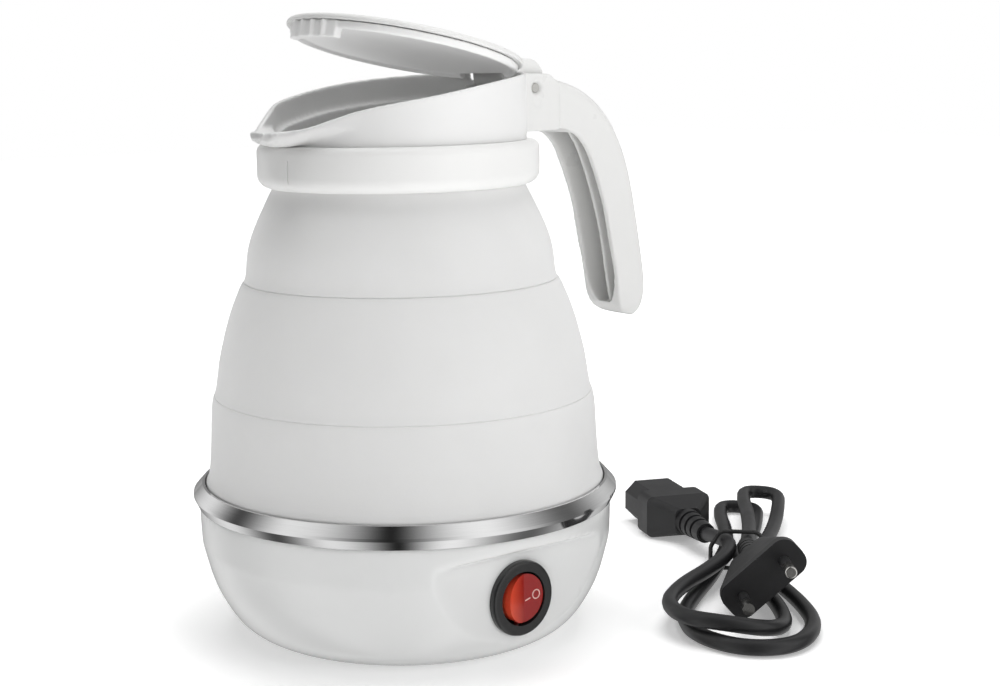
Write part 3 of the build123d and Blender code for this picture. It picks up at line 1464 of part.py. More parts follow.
plug_front = plug_relief_len + plug_body_len
pin_places = [(-plug_pin_pitch / 2, 0), (plug_pin_pitch / 2, 0)]
with BuildPart() as plug_body:
    with BuildSketch(plug_plane(plug_relief_len)):
        RectangleRounded(plug_back_w, 2 * plug_relief_r, plug_relief_r - edge_break)
    with BuildSketch(plug_plane(plug_front - plug_flange_len)):
        RectangleRounded(plug_front_w, plug_t, plug_t * plug_corner_share)
    loft()
    with BuildSketch(plug_plane(plug_front - plug_flange_len)):
        RectangleRounded(plug_front_w, plug_t, plug_t * plug_corner_share)
    extrude(amount=plug_flange_len)
    with BuildSketch(plug_plane(plug_front)):
        with Locations(*pin_places):
            Circle(plug_sleeve_r)
    extrude(amount=plug_pin_sleeve_len)
plug_body.part.label = "plug_body"
export_step(plug_body.part, "parts/plug_body.step")

with BuildPart() as plug_pins:
    with BuildSketch(plug_plane(plug_front + plug_pin_sleeve_len)):
        with Locations(*pin_places):
            Circle(plug_pin_r)
    extrude(amount=plug_pin_len - plug_pin_sleeve_len)
    pin_ends = plug_pins.faces().filter_by(GeomType.PLANE).sort_by_distance(plug_start)
    fillet(pin_ends.edges()[-1:], radius=edge_break)
plug_pins.part.label = "plug_pins"
export_step(plug_pins.part, "parts/plug_pins.step")

# Wire tie round the waist of the hank
tie_plane = Plane(lead_spot(0, tie_v, 0), x_dir=across, z_dir=along * -1)
with BuildLine(tie_plane) as tie_line:
    FilletPolyline(*tie_outline, radius=tie_corner, close=True)
tie_wire = tie_line.wires()[0]
with BuildPart() as cord_tie:
    with BuildSketch(Plane(tie_wire @ 0, z_dir=tie_wire % 0)):
        Circle(tie_r)
    sweep(path=tie_wire)
cord_tie.part.label = "cord_tie"
export_step(cord_tie.part, "parts/cord_tie.step")
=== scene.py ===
from math import atan2, cos, pi, radians, sin
import bpy
from mathutils import Matrix, Vector


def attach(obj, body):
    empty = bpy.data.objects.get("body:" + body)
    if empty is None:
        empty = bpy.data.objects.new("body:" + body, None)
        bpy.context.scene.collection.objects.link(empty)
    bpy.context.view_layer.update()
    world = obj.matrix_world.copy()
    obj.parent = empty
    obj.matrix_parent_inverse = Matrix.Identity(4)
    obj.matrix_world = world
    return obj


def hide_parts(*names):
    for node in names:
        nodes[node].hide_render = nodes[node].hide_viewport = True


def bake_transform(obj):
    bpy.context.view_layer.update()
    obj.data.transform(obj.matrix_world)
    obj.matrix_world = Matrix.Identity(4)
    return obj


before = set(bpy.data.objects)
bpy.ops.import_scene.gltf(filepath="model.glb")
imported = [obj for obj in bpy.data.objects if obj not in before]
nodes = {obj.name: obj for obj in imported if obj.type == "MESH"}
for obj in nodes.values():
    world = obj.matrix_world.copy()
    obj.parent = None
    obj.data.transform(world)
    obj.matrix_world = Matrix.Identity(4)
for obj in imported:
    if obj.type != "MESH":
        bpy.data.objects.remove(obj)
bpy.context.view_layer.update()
mm = 0.001

# Camera, as in the photograph: a little above the lid, the switch side turned towards it
view_turn = radians(36.0)
view_pitch = radians(9.38)
view_roll = radians(1.19)
camera_back = 0.5762
camera_height = 0.1933
ahead = Vector((sin(view_turn), cos(view_turn), 0.0))
to_right = Vector((cos(view_turn), -sin(view_turn), 0.0))
look = ahead * cos(view_pitch) - Vector((0, 0, sin(view_pitch)))
lift = ahead * sin(view_pitch) + Vector((0, 0, cos(view_pitch)))
cam_right = to_right * cos(view_roll) - lift * sin(view_roll)
cam_up = to_right * sin(view_roll) + lift * cos(view_roll)
camera_data = bpy.data.cameras.new("photo_camera")
camera = bpy.data.objects.new("photo_camera", camera_data)
bpy.context.scene.collection.objects.link(camera)
turned_axes = Matrix((cam_right, cam_up, -look)).transposed().to_4x4()
camera_place = ahead * -camera_back + Vector((0, 0, camera_height))
camera.matrix_world = Matrix.Translation(camera_place) @ turned_axes
camera_data.sensor_width = 36.0
camera_data.lens = 61.2
camera_data.shift_x = 0.0981
camera_data.clip_start = 0.01
bpy.context.scene.camera = camera
bpy.context.scene.view_settings.view_transform = "Standard"


# Materials: each is made of shader nodes on Object coordinates
def new_finish(name):
    finish = bpy.data.materials.new(name)
    finish.use_nodes = True
    tree = finish.node_tree
    shader = tree.nodes["Principled BSDF"]
    return finish, tree, shader


def add_noise(tree, scale, detail=3.0, roughness=0.5, stretch=None):
    noise = tree.nodes.new("ShaderNodeTexNoise")
    noise.inputs["Scale"].default_value = scale
    noise.inputs["Detail"].default_value = detail
    noise.inputs["Roughness"].default_value = roughness
    place = tree.nodes.new("ShaderNodeTexCoord")
    if stretch:
        mapping = tree.nodes.new("ShaderNodeMapping")
        mapping.inputs["Scale"].default_value = stretch
        tree.links.new(place.outputs["Object"], mapping.inputs["Vector"])
        tree.links.new(mapping.outputs["Vector"], noise.inputs["Vector"])
    else:
        tree.links.new(place.outputs["Object"], noise.inputs["Vector"])
    return noise


def add_range(tree, source, low, high, from_low=0.3, from_high=0.7):
    spread = tree.nodes.new("ShaderNodeMapRange")
    spread.inputs["From Min"].default_value = from_low
    spread.inputs["From Max"].default_value = from_high
    spread.inputs["To Min"].default_value = low
    spread.inputs["To Max"].default_value = high
    tree.links.new(source, spread.inputs["Value"])
    return spread.outputs["Result"]


def add_tint(tree, source, shader, dark, light):
    tint = tree.nodes.new("ShaderNodeMix")
    tint.data_type = "RGBA"
    tint.inputs["A"].default_value = (*dark, 1)
    tint.inputs["B"].default_value = (*light, 1)
    tree.links.new(source, tint.inputs["Factor"])
    tree.links.new(tint.outputs["Result"], shader.inputs["Base Color"])


def add_bump(tree, shader, source, strength, distance):
    bump = tree.nodes.new("ShaderNodeBump")
    bump.inputs["Strength"].default_value = strength
    bump.inputs["Distance"].default_value = distance
    tree.links.new(source, bump.inputs["Height"])
    tree.links.new(bump.outputs["Normal"], shader.inputs["Normal"])


def moulded_plastic(name, colour, rough=0.35, spread=0.05, grain=900.0, bump=0.04, coat=0.0):
    """Moulded plastic: slight cloudiness, fine surface grain, roughness that varies a little."""
    finish, tree, shader = new_finish(name)
    cloud = add_noise(tree, scale=35.0, detail=4.0)
    darker = tuple(c * (1 - spread) for c in colour)
    lighter = tuple(min(1.0, c * (1 + spread * 0.4)) for c in colour)
    add_tint(tree, add_range(tree, cloud.outputs["Fac"], 0.0, 1.0), shader, darker, lighter)
    smear = add_noise(tree, scale=60.0, detail=5.0, roughness=0.6)
    worn = add_range(tree, smear.outputs["Fac"], rough * 0.88, rough * 1.14)
    tree.links.new(worn, shader.inputs["Roughness"])
    fine = add_noise(tree, grain, detail=2.0)
    add_bump(tree, shader, fine.outputs["Fac"], bump, distance=0.0002)
    shader.inputs["Coat Weight"].default_value = coat
    shader.inputs["Coat Roughness"].default_value = 0.12
    return finish


def metal(name, colour, rough=0.2, stretch=None, grain=300.0, bump=0.02):
    """Bare metal: fine streaks, drawn out by stretch, in its tone, roughness and surface."""
    finish, tree, shader = new_finish(name)
    shader.inputs["Metallic"].default_value = 1.0
    streaks = add_noise(tree, grain, detail=4.0, roughness=0.6, stretch=stretch).outputs["Fac"]
    darker = tuple(c * 0.94 for c in colour)
    add_tint(tree, add_range(tree, streaks, 0.0, 1.0), shader, darker, colour)
    worn = add_range(tree, streaks, rough * 0.7, rough * 1.35)
    tree.links.new(worn, shader.inputs["Roughness"])
    add_bump(tree, shader, streaks, bump, distance=0.0001)
    return finish


def silicone_finish(name, colour):
    """Matt silicone: soft sheen, faint dust mottling and a very fine orange-peel skin."""
    finish, tree, shader = new_finish(name)
    cloud = add_noise(tree, scale=22.0, detail=5.0, roughness=0.55)
    darker = tuple(c * 0.965 for c in colour)
    lighter = tuple(min(1, c * 1.015) for c in colour)
    add_tint(tree, add_range(tree, cloud.outputs["Fac"], 0.0, 1.0), shader, darker, lighter)
    dust = add_noise(tree, scale=240.0, detail=6.0, roughness=0.7)
    tree.links.new(add_range(tree, dust.outputs["Fac"], 0.5, 0.64), shader.inputs["Roughness"])
    peel = add_noise(tree, scale=1400.0, detail=2.0)
    add_bump(tree, shader, peel.outputs["Fac"], strength=0.10, distance=0.0002)
    shader.inputs["Sheen Weight"].default_value = 0.25
    shader.inputs["Sheen Roughness"].default_value = 0.4
    shader.inputs["Subsurface Weight"].default_value = 0.08
    shader.inputs["Subsurface Radius"].default_value = (0.004, 0.004, 0.0035)
    return finish


def red_with_painted_glow(name):
    """Translucent red rocker: deep red body, its raised side painted a lighter red as a glow from
    within.
    """
    finish, tree, shader = new_finish(name)
    place = tree.nodes.new("ShaderNodeTexCoord")
    split = tree.nodes.new("ShaderNodeSeparateXYZ")
    tree.links.new(place.outputs["Object"], split.inputs["Vector"])
    # Painted glow: the base colour turns from deep red to a lighter red towards the raised side,
    # standing in for light from within.
    lit = add_range(tree, split.outputs["X"], 1.0, 0.0, from_low=-0.006, from_high=0.001)
    deep_red = (0.40, 0.012, 0.010)
    painted_glow_red = (0.92, 0.10, 0.045)
    add_tint(tree, lit, shader, deep_red, painted_glow_red)
    handled = add_range(tree, add_noise(tree, scale=500.0).outputs["Fac"], 0.12, 0.2)
    tree.links.new(handled, shader.inputs["Roughness"])
    shader.inputs["Transmission Weight"].default_value = 0.25
    shader.inputs["Subsurface Weight"].default_value = 0.35
    shader.inputs["Subsurface Radius"].default_value = (0.004, 0.0006, 0.0004)
    shader.inputs["Coat Weight"].default_value = 0.5
    return finish


warm_white = (0.76, 0.76, 0.755)
base_finish = moulded_plastic(
    "base_gloss", (0.77, 0.775, 0.77), rough=0.22, spread=0.02, grain=1200.0, bump=0.02, coat=0.25,
)
collar_finish = moulded_plastic("collar_satin", (0.86, 0.86, 0.85), rough=0.34, spread=0.02)
rim_finish = moulded_plastic("rim_satin", (0.85, 0.85, 0.845), rough=0.33, spread=0.02)
lid_finish = moulded_plastic("lid_satin", (0.83, 0.83, 0.82), rough=0.32, spread=0.02)
# The liner's white is lighter than the lid's: painted light that brightens the shaded underside of
# the lid.
liner_finish = moulded_plastic("liner_satin", (0.90, 0.90, 0.895), rough=0.4, spread=0.02)
handle_finish = moulded_plastic("handle_satin", (0.80, 0.80, 0.79), rough=0.3, spread=0.02, coat=0.15)
cover_finish = moulded_plastic("cover_matt", (0.72, 0.72, 0.71), rough=0.5, spread=0.03)
rubber_finish = moulded_plastic(
    "foot_rubber", (0.42, 0.42, 0.41), rough=0.7, spread=0.06, grain=700.0, bump=0.15,
)
black_gloss = moulded_plastic("switch_black", (0.018, 0.018, 0.018), rough=0.24, spread=0.1, coat=0.3)
black_matt = moulded_plastic("inlet_black", (0.025, 0.025, 0.025), rough=0.45, spread=0.1)
plug_finish = moulded_plastic(
    "plug_black", (0.022, 0.022, 0.023), rough=0.4, spread=0.12, grain=1500.0, bump=0.12,
)
lead_finish = moulded_plastic(
    "lead_black", (0.02, 0.02, 0.021), rough=0.36, spread=0.15, grain=1100.0, bump=0.08,
)
tie_finish = moulded_plastic("tie_black", (0.03, 0.03, 0.03), rough=0.45, spread=0.1)
silicone = silicone_finish("silicone_white", warm_white)
band_finish = metal(
    "polished_band", (0.86, 0.86, 0.86), rough=0.07, stretch=(1.0, 1.0, 60.0), grain=90.0, bump=0.012,
)
pan_finish = metal("pan_steel", (0.66, 0.66, 0.66), rough=0.28, grain=500.0, bump=0.05)
pin_finish = metal("pin_nickel", (0.78, 0.77, 0.74), rough=0.16)
brass_finish = metal("contact_brass", (0.80, 0.62, 0.30), rough=0.25)
aluminium_finish = metal("cast_aluminium", (0.74, 0.75, 0.76), rough=0.45, grain=260.0, bump=0.15)
rocker_finish = red_with_painted_glow("rocker_red")
mark_finish = moulded_plastic("mark_pale", (0.86, 0.52, 0.47), rough=0.4, spread=0.03)
brown_wire = moulded_plastic("wire_brown", (0.16, 0.07, 0.035), rough=0.4)
blue_wire = moulded_plastic("wire_blue", (0.03, 0.12, 0.42), rough=0.4)
green_wire = moulded_plastic("wire_green", (0.10, 0.38, 0.07), rough=0.4)
boot_finish = moulded_plastic("boot_milky", (0.72, 0.72, 0.67), rough=0.42)
phenolic = moulded_plastic("thermostat_phenolic", (0.05, 0.045, 0.04), rough=0.5, spread=0.15)

node_finishes = {
    "base_shell": base_finish, "bottom_cover": cover_finish, "foot_ring": rubber_finish,
    "bottom_screws": pin_finish, "handle_screws": pin_finish, "inner_carrier": cover_finish,
    "steel_band": band_finish, "heating_pan": pan_finish, "heat_spreader": aluminium_finish,
    "heating_element": aluminium_finish, "element_cold_pins": pin_finish, "thermostat": phenolic,
    "thermostat_legs": brass_finish, "thermal_fuse": pin_finish, "silicone_lower_tier": silicone,
    "silicone_middle_tier": silicone, "silicone_upper_tier": silicone, "collar_ring": collar_finish,
    "rim_spout": rim_finish, "handle_shell": handle_finish, "hinge_pin": pin_finish,
    "lid_cover": lid_finish, "lid_liner": liner_finish, "switch_housing": black_gloss,
    "switch_rocker": rocker_finish, "neon_lamp": mark_finish, "switch_terminals": brass_finish,
    "inlet_socket": black_matt, "inlet_pins": pin_finish, "live_wires": brown_wire,
    "neutral_wires": blue_wire, "earth_wire": green_wire, "wire_boots": boot_finish,
    "lead_cord": lead_finish, "connector_strain_relief": lead_finish, "connector_body": plug_finish,
    "connector_contacts": pin_finish, "plug_strain_relief": lead_finish, "plug_body": plug_finish,
    "plug_pins": pin_finish, "cord_tie": tie_finish,
}
for node_name, finish in node_finishes.items():
    node = nodes[node_name]
    node.data.materials.clear()
    node.data.materials.append(finish)


def dress(piece, finish, body, slot_name, *replaced):
    """Give a new piece its finish and its body, and hide the nodes it stands for. The colour slot
    name is not used.
    """
    piece.data.materials.clear()
    piece.data.materials.append(finish)
    if body:
        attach(piece, body)
    if replaced:
        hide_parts(*replaced)


def start_shaping():
    if bpy.context.object and bpy.context.object.mode != "OBJECT":
        bpy.ops.object.mode_set(mode="OBJECT")
    bpy.ops.object.select_all(action="DESELECT")


def apply_all(piece):
    bpy.context.view_layer.objects.active = piece
    for modifier in list(piece.modifiers):
        bpy.ops.object.modifier_apply(modifier=modifier.name)


def settle_place(piece):
    """Move a piece's place into its mesh."""
    start_shaping()
    piece.select_set(True)
    bpy.context.view_layer.objects.active = piece
    bpy.ops.object.transform_apply(location=True, rotation=True, scale=True)


turned_sides = 48
turned_levels = 2
merge_gap = 0.01 * mm     # loose vertices nearer than this are one
weld_gap = 0.02 * mm


def turned(name, profile):
    """A closed ring round the kettle's axis: a circle extruded and resized along a profile in mm."""
    start_shaping()
    first_r, first_z = profile[0]
    bpy.ops.mesh.primitive_circle_add(
        vertices=turned_sides, radius=first_r * mm, location=(0, 0, first_z * mm),
    )
    ring = bpy.context.object
    ring.name = name
    bpy.ops.object.transform_apply(location=True)
    bpy.ops.object.mode_set(mode="EDIT")
    bpy.ops.mesh.select_all(action="SELECT")
    last_r, last_z = first_r, first_z
    for r, z in list(profile[1:]) + [profile[0]]:
        rise = (0, 0, (z - last_z) * mm)
        bpy.ops.mesh.extrude_region_move(TRANSFORM_OT_translate={"value": rise})
        scale = r / last_r
        bpy.ops.transform.resize(value=(scale, scale, 1), center_override=(0, 0, z * mm))
        last_r, last_z = r, z
    bpy.ops.mesh.select_all(action="SELECT")
    bpy.ops.mesh.remove_doubles(threshold=merge_gap)
    bpy.ops.mesh.normals_make_consistent(inside=False)
    bpy.ops.object.mode_set(mode="OBJECT")
    smooth = ring.modifiers.new("smooth", "SUBSURF")
    smooth.levels = turned_levels
    smooth.render_levels = turned_levels
    apply_all(ring)
    bpy.ops.object.shade_smooth()
    return ring


# Silicone body: three tiers whose ledges are the folds. Profile points are radius and height in mm,
# up the outside from the lower edge and down the inside.
lower_profile = [
    (68.9, 52.6), (68.2, 53.6), (67.7, 55.0), (67.1, 59.0), (66.7, 64.5), (66.4, 70.0),
    (66.2, 74.5), (66.0, 77.6), (65.8, 79.6), (65.5, 81.2), (65.2, 82.2), (64.8, 82.7),
    (63.9, 82.6), (63.6, 81.0), (63.9, 75.5), (64.2, 70.0), (64.4, 64.5), (64.8, 59.0),
    (65.3, 55.0), (65.5, 50.5), (66.0, 47.9), (68.0, 47.7), (68.3, 48.5), (68.5, 51.0),
]
lower_tier = turned("silicone_lower", lower_profile)
dress(lower_tier, silicone, "base", "silicone", "silicone_lower_tier")

middle_profile = [
    (65.0, 82.4), (64.75, 83.2), (64.3, 84.6), (63.9, 87.0), (63.45, 90.0), (62.95, 93.6),
    (62.2, 97.2), (61.25, 101.0), (60.2, 105.0), (59.0, 109.0), (57.7, 112.6), (56.6, 115.3),
    (55.6, 117.6), (54.8, 119.4), (54.1, 120.5), (53.4, 121.0), (51.6, 121.05), (51.2, 120.6),
    (51.6, 119.0), (53.4, 116.2), (55.2, 112.6), (56.7, 109.0), (57.9, 105.0), (59.0, 101.0),
    (60.0, 97.0), (60.9, 93.0), (61.6, 89.0), (62.2, 85.5), (62.4, 83.4), (62.5, 82.4),
]
middle_tier = turned("silicone_middle", middle_profile)
dress(middle_tier, silicone, None, "silicone", "silicone_middle_tier")
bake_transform(middle_tier)

upper_profile = [
    (53.7, 120.8), (53.3, 121.6), (52.85, 123.0), (52.6, 125.4), (52.35, 128.5), (51.8, 132.0),
    (50.7, 135.8), (49.4, 139.0), (47.6, 143.0), (45.6, 147.0), (43.9, 150.4), (42.9, 152.2),
    (42.55, 153.4), (42.5, 156.0), (42.5, 160.9), (41.0, 160.9), (41.0, 156.0), (41.0, 153.0),
    (41.4, 151.4), (43.0, 148.0), (45.0, 144.0), (46.8, 140.0), (48.3, 136.0), (49.5, 131.5),
    (50.1, 127.5), (50.4, 124.0), (50.7, 121.6), (50.8, 120.7),
]
upper_tier = turned("silicone_upper", upper_profile)
dress(upper_tier, silicone, "top", "silicone", "silicone_upper_tier")


# Moulded pieces with soft edges
def softened(node_name, finish, body, slot_name, voxel, rounds, shape=None):
    """A copy of a CAD node, remeshed in voxels given in mm, shaped if asked, and smoothed."""
    node = nodes[node_name]
    piece = bpy.data.objects.new(node_name + "_soft", node.data.copy())
    piece.matrix_world = node.matrix_world.copy()
    bpy.context.scene.collection.objects.link(piece)
    settle_place(piece)
    weld = piece.modifiers.new("weld", "WELD")
    weld.merge_threshold = weld_gap
    grid = piece.modifiers.new("grid", "REMESH")
    grid.mode = "VOXEL"
    grid.voxel_size = voxel * mm
    grid.use_smooth_shade = True
    apply_all(piece)
    if shape:
        shape(piece)
    relax = piece.modifiers.new("relax", "SMOOTH")
    relax.factor = 0.5
    relax.iterations = rounds
    apply_all(piece)
    dress(piece, finish, body, slot_name, node_name)
    return piece


lip_start_x = -44.0 * mm      # where the lip begins to thicken
lip_full_run = 11.0 * mm      # from there to its full thickness
lip_drop = 2.2 * mm
lip_turn = 0.8                # faces whose normal rises less than this belong to the underside
lip_inner_turn = 0.3          # faces that look back into the kettle more than this stay
tip_start_x = -54.0 * mm
tip_squeeze = 0.3


def thicken_lip(piece):
    """Draw the beak's underside down towards its tip and blunt the tip."""
    for vertex in piece.data.vertices:
        reach = (lip_start_x - vertex.co.x) / lip_full_run
        under = (lip_turn - vertex.normal.z) / (2 * lip_turn)
        if reach > 0 and under > 0 and vertex.normal.x < lip_inner_turn:
            vertex.co.z -= lip_drop * min(1.0, reach) * min(1.0, under)
    for vertex in piece.data.vertices:
        past = tip_start_x - vertex.co.x
        if past > 0:
            vertex.co.x += tip_squeeze * past


softened(
    "rim_spout", rim_finish, "top", "rim_plastic", voxel=0.55, rounds=6, shape=thicken_lip,
)
softened("handle_shell", handle_finish, "top", "handle_plastic", voxel=0.6, rounds=6)
softened("lid_cover", lid_finish, "lid", "lid_plastic", voxel=0.45, rounds=4)
soft_liner = softened("lid_liner", liner_finish, "lid", "liner_plastic", voxel=0.45, rounds=3)
softened("base_shell", base_finish, "base", "base_shell", voxel=0.9, rounds=12)

# Pale marks moulded into the right half of the rocker: a dash and a ring
mark_turn = radians(14.0)
mark_face_y = -63.1 * mm
dash_size = (2.3 * mm, 0.16 * mm, 0.42 * mm)
dash_place = (2.1 * mm, mark_face_y, 21.9 * mm)
dash_edge = 0.07 * mm
ring_place = (5.6 * mm, mark_face_y, 23.0 * mm)
ring_r = 1.45 * mm
ring_wire_r = 0.21 * mm

start_shaping()
bpy.ops.mesh.primitive_cube_add(size=1.0, location=(0, 0, 0))
dash_mark = bpy.context.object
dash_mark.name = "rocker_dash_mark"
bpy.ops.object.mode_set(mode="EDIT")
bpy.ops.transform.resize(value=dash_size)
bpy.ops.object.mode_set(mode="OBJECT")
dash_mark.rotation_euler = (0, -mark_turn, 0)
dash_mark.location = dash_place
settle_place(dash_mark)
rounded = dash_mark.modifiers.new("rounded", "BEVEL")
rounded.width = dash_edge
rounded.segments = 2
apply_all(dash_mark)
dress(dash_mark, mark_finish, "rocker", None)

start_shaping()
bpy.ops.mesh.primitive_torus_add(
    major_radius=ring_r, minor_radius=ring_wire_r, major_segments=40, minor_segments=10,
    location=ring_place, rotation=(pi / 2, 0, 0),
)
ring_mark = bpy.context.object
ring_mark.name = "rocker_ring_mark"
settle_place(ring_mark)
bpy.ops.object.shade_smooth()
dress(ring_mark, mark_finish, "rocker", None)


# Power lead: the same route as in the part's source, as one smooth NURBS line
lead_heading = radians(43.1)
lead_along = Vector((cos(lead_heading), sin(lead_heading), 0))
lead_across = Vector((sin(lead_heading), -cos(lead_heading), 0))
lead_near = Vector((57.6, -103.7, 0))
lead_r = 2.75 * mm
# each spot is across, along and above, in mm from lead_near
lead_route = (
    (-12.4, 117.5, 8.8), (-8.0, 107.5, 10.4), (-3.5, 98.0, 11.3), (-3.9, 84.0, 10.9),
    (-10.6, 67.0, 10.0), (-20.6, 47.5, 9.2), (-25.0, 29.0, 8.8), (-18.5, 13.0, 9.3),
    (-4.6, 8.8, 9.3), (9.6, 12.2, 6.6),
    (15.8, 28.0, 3.4), (12.2, 55.0, 3.1), (3.4, 79.0, 3.9), (-0.2, 98.0, 5.0), (1.9, 118.0, 3.9),
    (5.8, 141.0, 3.1), (7.6, 163.0, 3.0), (8.0, 180.5, 3.0), (-7.0, 183.5, 3.0), (-7.4, 167.0, 3.0),
    (-5.0, 146.0, 3.1), (-4.2, 121.0, 3.5), (-6.6, 98.0, 5.0), (-10.0, 78.0, 3.9), (-16.2, 55.0, 3.1),
    (-19.6, 34.0, 3.0), (-15.0, 14.0, 3.0), (1.0, 2.4, 3.0), (18.5, 7.5, 3.0), (25.6, 29.0, 3.0),
    (21.0, 54.0, 3.0), (11.8, 77.0, 3.9), (6.4, 98.0, 5.0), (9.3, 119.0, 4.4), (14.2, 143.0, 5.2),
    (16.6, 165.0, 8.6), (16.6, 181.0, 9.6), (2.4, 183.0, 9.8), (2.2, 167.0, 9.8), (3.6, 146.0, 10.0),
    (4.1, 121.0, 10.6), (3.4, 104.0, 11.4), (3.0, 91.0, 11.6),
)


def lead_spot(across, along, above):
    return (lead_near + lead_across * across + lead_along * along + Vector((0, 0, above))) * mm


lead_curve = bpy.data.curves.new("power_lead_cord", "CURVE")
lead_curve.dimensions = "3D"
lead_line = lead_curve.splines.new("NURBS")
lead_line.points.add(len(lead_route) - 1)
for point, spot in zip(lead_line.points, lead_route):
    point.co = (*lead_spot(*spot), 1.0)
lead_line.order_u = 3
lead_line.use_endpoint_u = True
lead_line.resolution_u = 10
lead_curve.bevel_depth = lead_r
lead_curve.bevel_resolution = 5
lead_curve.use_fill_caps = True
lead_piece = bpy.data.objects.new("power_lead_cord", lead_curve)
bpy.context.scene.collection.objects.link(lead_piece)
dress(lead_piece, lead_finish, "power_lead", "lead_black", "lead_cord")


# Room: white paper floor, and a tent of light and dark stripes that only mirrored rays meet
near_glow = 0.29
far_glow = 1.0
near_glow_r = 0.15
far_glow_r = 0.55
floor_size = 6.0
tent_r = 4.0
band_middle_z = 0.048


def paper_with_painted_glow(name, colour):
    """Paper that glows a little near the kettle, painted light that lightens its shadow there, and
    glows quite white further off.
    """
    finish, tree, shader = new_finish(name)
    grain = add_noise(tree, scale=40.0)
    add_tint(tree, grain.outputs["Fac"], shader, tuple(c * 0.99 for c in colour), colour)
    shader.inputs["Roughness"].default_value = 0.95
    shader.inputs["Specular IOR Level"].default_value = 0.0
    shader.inputs["Emission Color"].default_value = (1, 1, 1, 1)
    place = tree.nodes.new("ShaderNodeTexCoord")
    length = tree.nodes.new("ShaderNodeVectorMath")
    length.operation = "LENGTH"
    tree.links.new(place.outputs["Object"], length.inputs[0])
    away = length.outputs["Value"]
    # Painted light: the paper's glow rises from near_glow by the kettle to far_glow further off,
    # lightening the kettle's shadow.
    glow = add_range(tree, away, near_glow, far_glow, near_glow_r, far_glow_r)
    tree.links.new(glow, shader.inputs["Emission Strength"])
    return finish


def mirrored_heading(face_tilt, around):
    """Heading that the camera sees mirrored in a band face, tilted up, at an angle round the band."""
    normal = Vector((cos(face_tilt) * cos(around), cos(face_tilt) * sin(around), sin(face_tilt)))
    to_camera = Vector((cos(view_pitch), 0, sin(view_pitch)))
    mirrored = normal * (2 * normal.dot(to_camera)) - to_camera
    return atan2(mirrored.y, mirrored.x)


# each stop is an angle round the band from the camera's side, in degrees, and a brightness
stripe_stops = (
    (-80, 0.25), (-61, 0.8), (-44, 0.07), (-27, 0.85), (-3, 0.02),
    (17, 0.95), (42, 0.12), (63, 0.6), (80, 0.3),
)
upper_tilt = radians(42.0)
lower_tilt = radians(-20.0)


def stripe_ramp(tree, turn, face_tilt):
    """The stripes round the tent, where this face of the band mirrors them to the camera."""
    ramp = tree.nodes.new("ShaderNodeValToRGB")
    ramp.color_ramp.interpolation = "EASE"
    marks = ramp.color_ramp.elements
    for around, level in stripe_stops:
        heading = mirrored_heading(face_tilt, radians(around))
        mark = marks.new(0.5 + heading / (2 * pi))
        mark.color = (level, level, level, 1)
    marks.remove(marks[0])
    marks.remove(marks[-1])
    tree.links.new(turn, ramp.inputs["Fac"])
    return ramp.outputs["Color"]


def striped_light(name):
    """Light in upright stripes: one set below the horizon, another above it."""
    finish = bpy.data.materials.new(name)
    finish.use_nodes = True
    tree = finish.node_tree
    tree.nodes.clear()
    place = tree.nodes.new("ShaderNodeTexCoord")
    split = tree.nodes.new("ShaderNodeSeparateXYZ")
    tree.links.new(place.outputs["Object"], split.inputs["Vector"])
    heading = tree.nodes.new("ShaderNodeMath")
    heading.operation = "ARCTAN2"
    tree.links.new(split.outputs["Y"], heading.inputs[0])
    tree.links.new(split.outputs["X"], heading.inputs[1])
    turn = add_range(tree, heading.outputs["Value"], 0.0, 1.0, -pi, pi)
    above = add_range(tree, split.outputs["Z"], 0.0, 1.0, -0.02, 0.02)
    mix = tree.nodes.new("ShaderNodeMix")
    mix.data_type = "RGBA"
    tree.links.new(above, mix.inputs["Factor"])
    tree.links.new(stripe_ramp(tree, turn, lower_tilt), mix.inputs["A"])
    tree.links.new(stripe_ramp(tree, turn, upper_tilt), mix.inputs["B"])
    glow = tree.nodes.new("ShaderNodeEmission")
    tree.links.new(mix.outputs["Result"], glow.inputs["Color"])
    end = tree.nodes.new("ShaderNodeOutputMaterial")
    tree.links.new(glow.outputs["Emission"], end.inputs["Surface"])
    return finish


start_shaping()
bpy.ops.mesh.primitive_plane_add(size=floor_size, location=(0, 0, 0))
floor = bpy.context.object
floor.name = "studio_floor"
floor.data.materials.append(paper_with_painted_glow("floor_paper", (0.93, 0.93, 0.93)))
floor.visible_glossy = False

bpy.ops.mesh.primitive_uv_sphere_add(
    segments=64, ring_count=32, radius=tent_r, location=(0, 0, band_middle_z),
)
tent = bpy.context.object
tent.name = "studio_tent"
tent.rotation_euler = (0, 0, atan2(-ahead.y, -ahead.x))
tent.data.materials.append(striped_light("tent_stripes"))
tent.visible_camera = False
tent.visible_diffuse = False
tent.visible_shadow = False
tent.visible_transmission = False

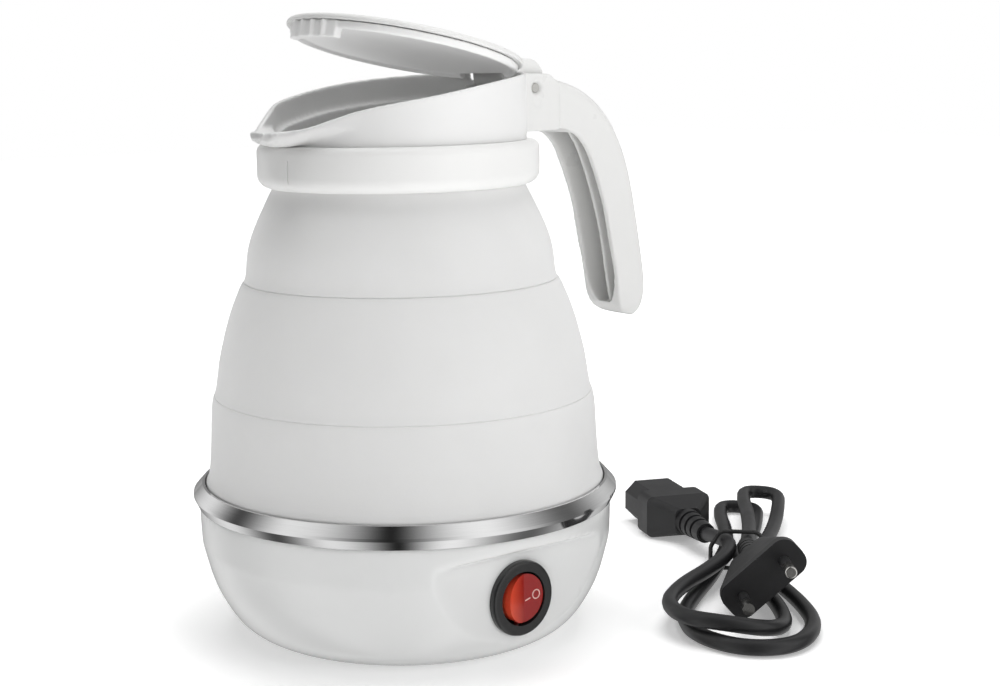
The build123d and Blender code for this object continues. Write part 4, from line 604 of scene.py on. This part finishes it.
# Even sky light that lights the kettle faintly and shows white to the camera
sky_light = 0.31
sky_seen = 1.0
world = bpy.data.worlds.new("studio_world")
bpy.context.scene.world = world
world.use_nodes = True
sky = world.node_tree.nodes["Background"]
sky.inputs["Color"].default_value = (1.0, 1.0, 1.0, 1)
rays = world.node_tree.nodes.new("ShaderNodeLightPath")
seen = rays.outputs["Is Camera Ray"]
strength = add_range(world.node_tree, seen, sky_light, sky_seen, from_low=0.0, from_high=1.0)
world.node_tree.links.new(strength, sky.inputs["Strength"])


def soft_light(name, place, target, width, height, power):
    """A rectangular lamp at place that faces target and isn't mirrored in shiny pieces."""
    data = bpy.data.lights.new(name, "AREA")
    data.shape = "RECTANGLE"
    data.size = width
    data.size_y = height
    data.energy = power
    lamp = bpy.data.objects.new(name, data)
    bpy.context.scene.collection.objects.link(lamp)
    lamp.location = place
    lamp.rotation_euler = (target - place).to_track_quat("-Z", "Y").to_euler()
    lamp.visible_glossy = False
    return lamp


kettle_middle = Vector((0, 0, 0.1))
key_place = ahead * -0.95 + to_right * 0.95 + Vector((0, 0, 0.75))
top_place = Vector((0.12, 0.1, 1.4))
soft_light("key_softbox", key_place, kettle_middle, width=0.7, height=0.9, power=4.6)
soft_light("top_softbox", top_place, kettle_middle, width=1.2, height=1.2, power=14.0)

# Small lamp inside the kettle that lights the lid's liner only
lid_lamp_place = Vector((-0.05, 0, 0.03))
liner_middle = Vector((-0.02, 0, 0.2))
lid_lamp = soft_light("lid_lamp", lid_lamp_place, liner_middle, width=0.12, height=0.12, power=0.09)
lit_pieces = bpy.data.collections.new("lit_by_lid_lamp")
lit_pieces.objects.link(soft_liner)
lid_lamp.light_linking.receiver_collection = lit_pieces
lid_lamp.light_linking.blocker_collection = lit_pieces

# Dark card beside the spout, which the camera doesn't see
card_width = 0.085
card_height = 0.06
card_place = ahead * -0.058 + to_right * -0.072 + Vector((0, 0, 0.172))
card_target = Vector((0, 0, 0.165))
start_shaping()
bpy.ops.mesh.primitive_plane_add(size=1.0)
card = bpy.context.object
card.name = "spout_side_card"
card.scale = (card_width, card_height, 1.0)
card.location = card_place
card.rotation_euler = (card_target - card_place).to_track_quat("Z", "Y").to_euler()
card.data.materials.append(moulded_plastic("card_black", (0.01, 0.01, 0.01), rough=0.9, spread=0.0))
card.visible_camera = False
card.visible_glossy = False
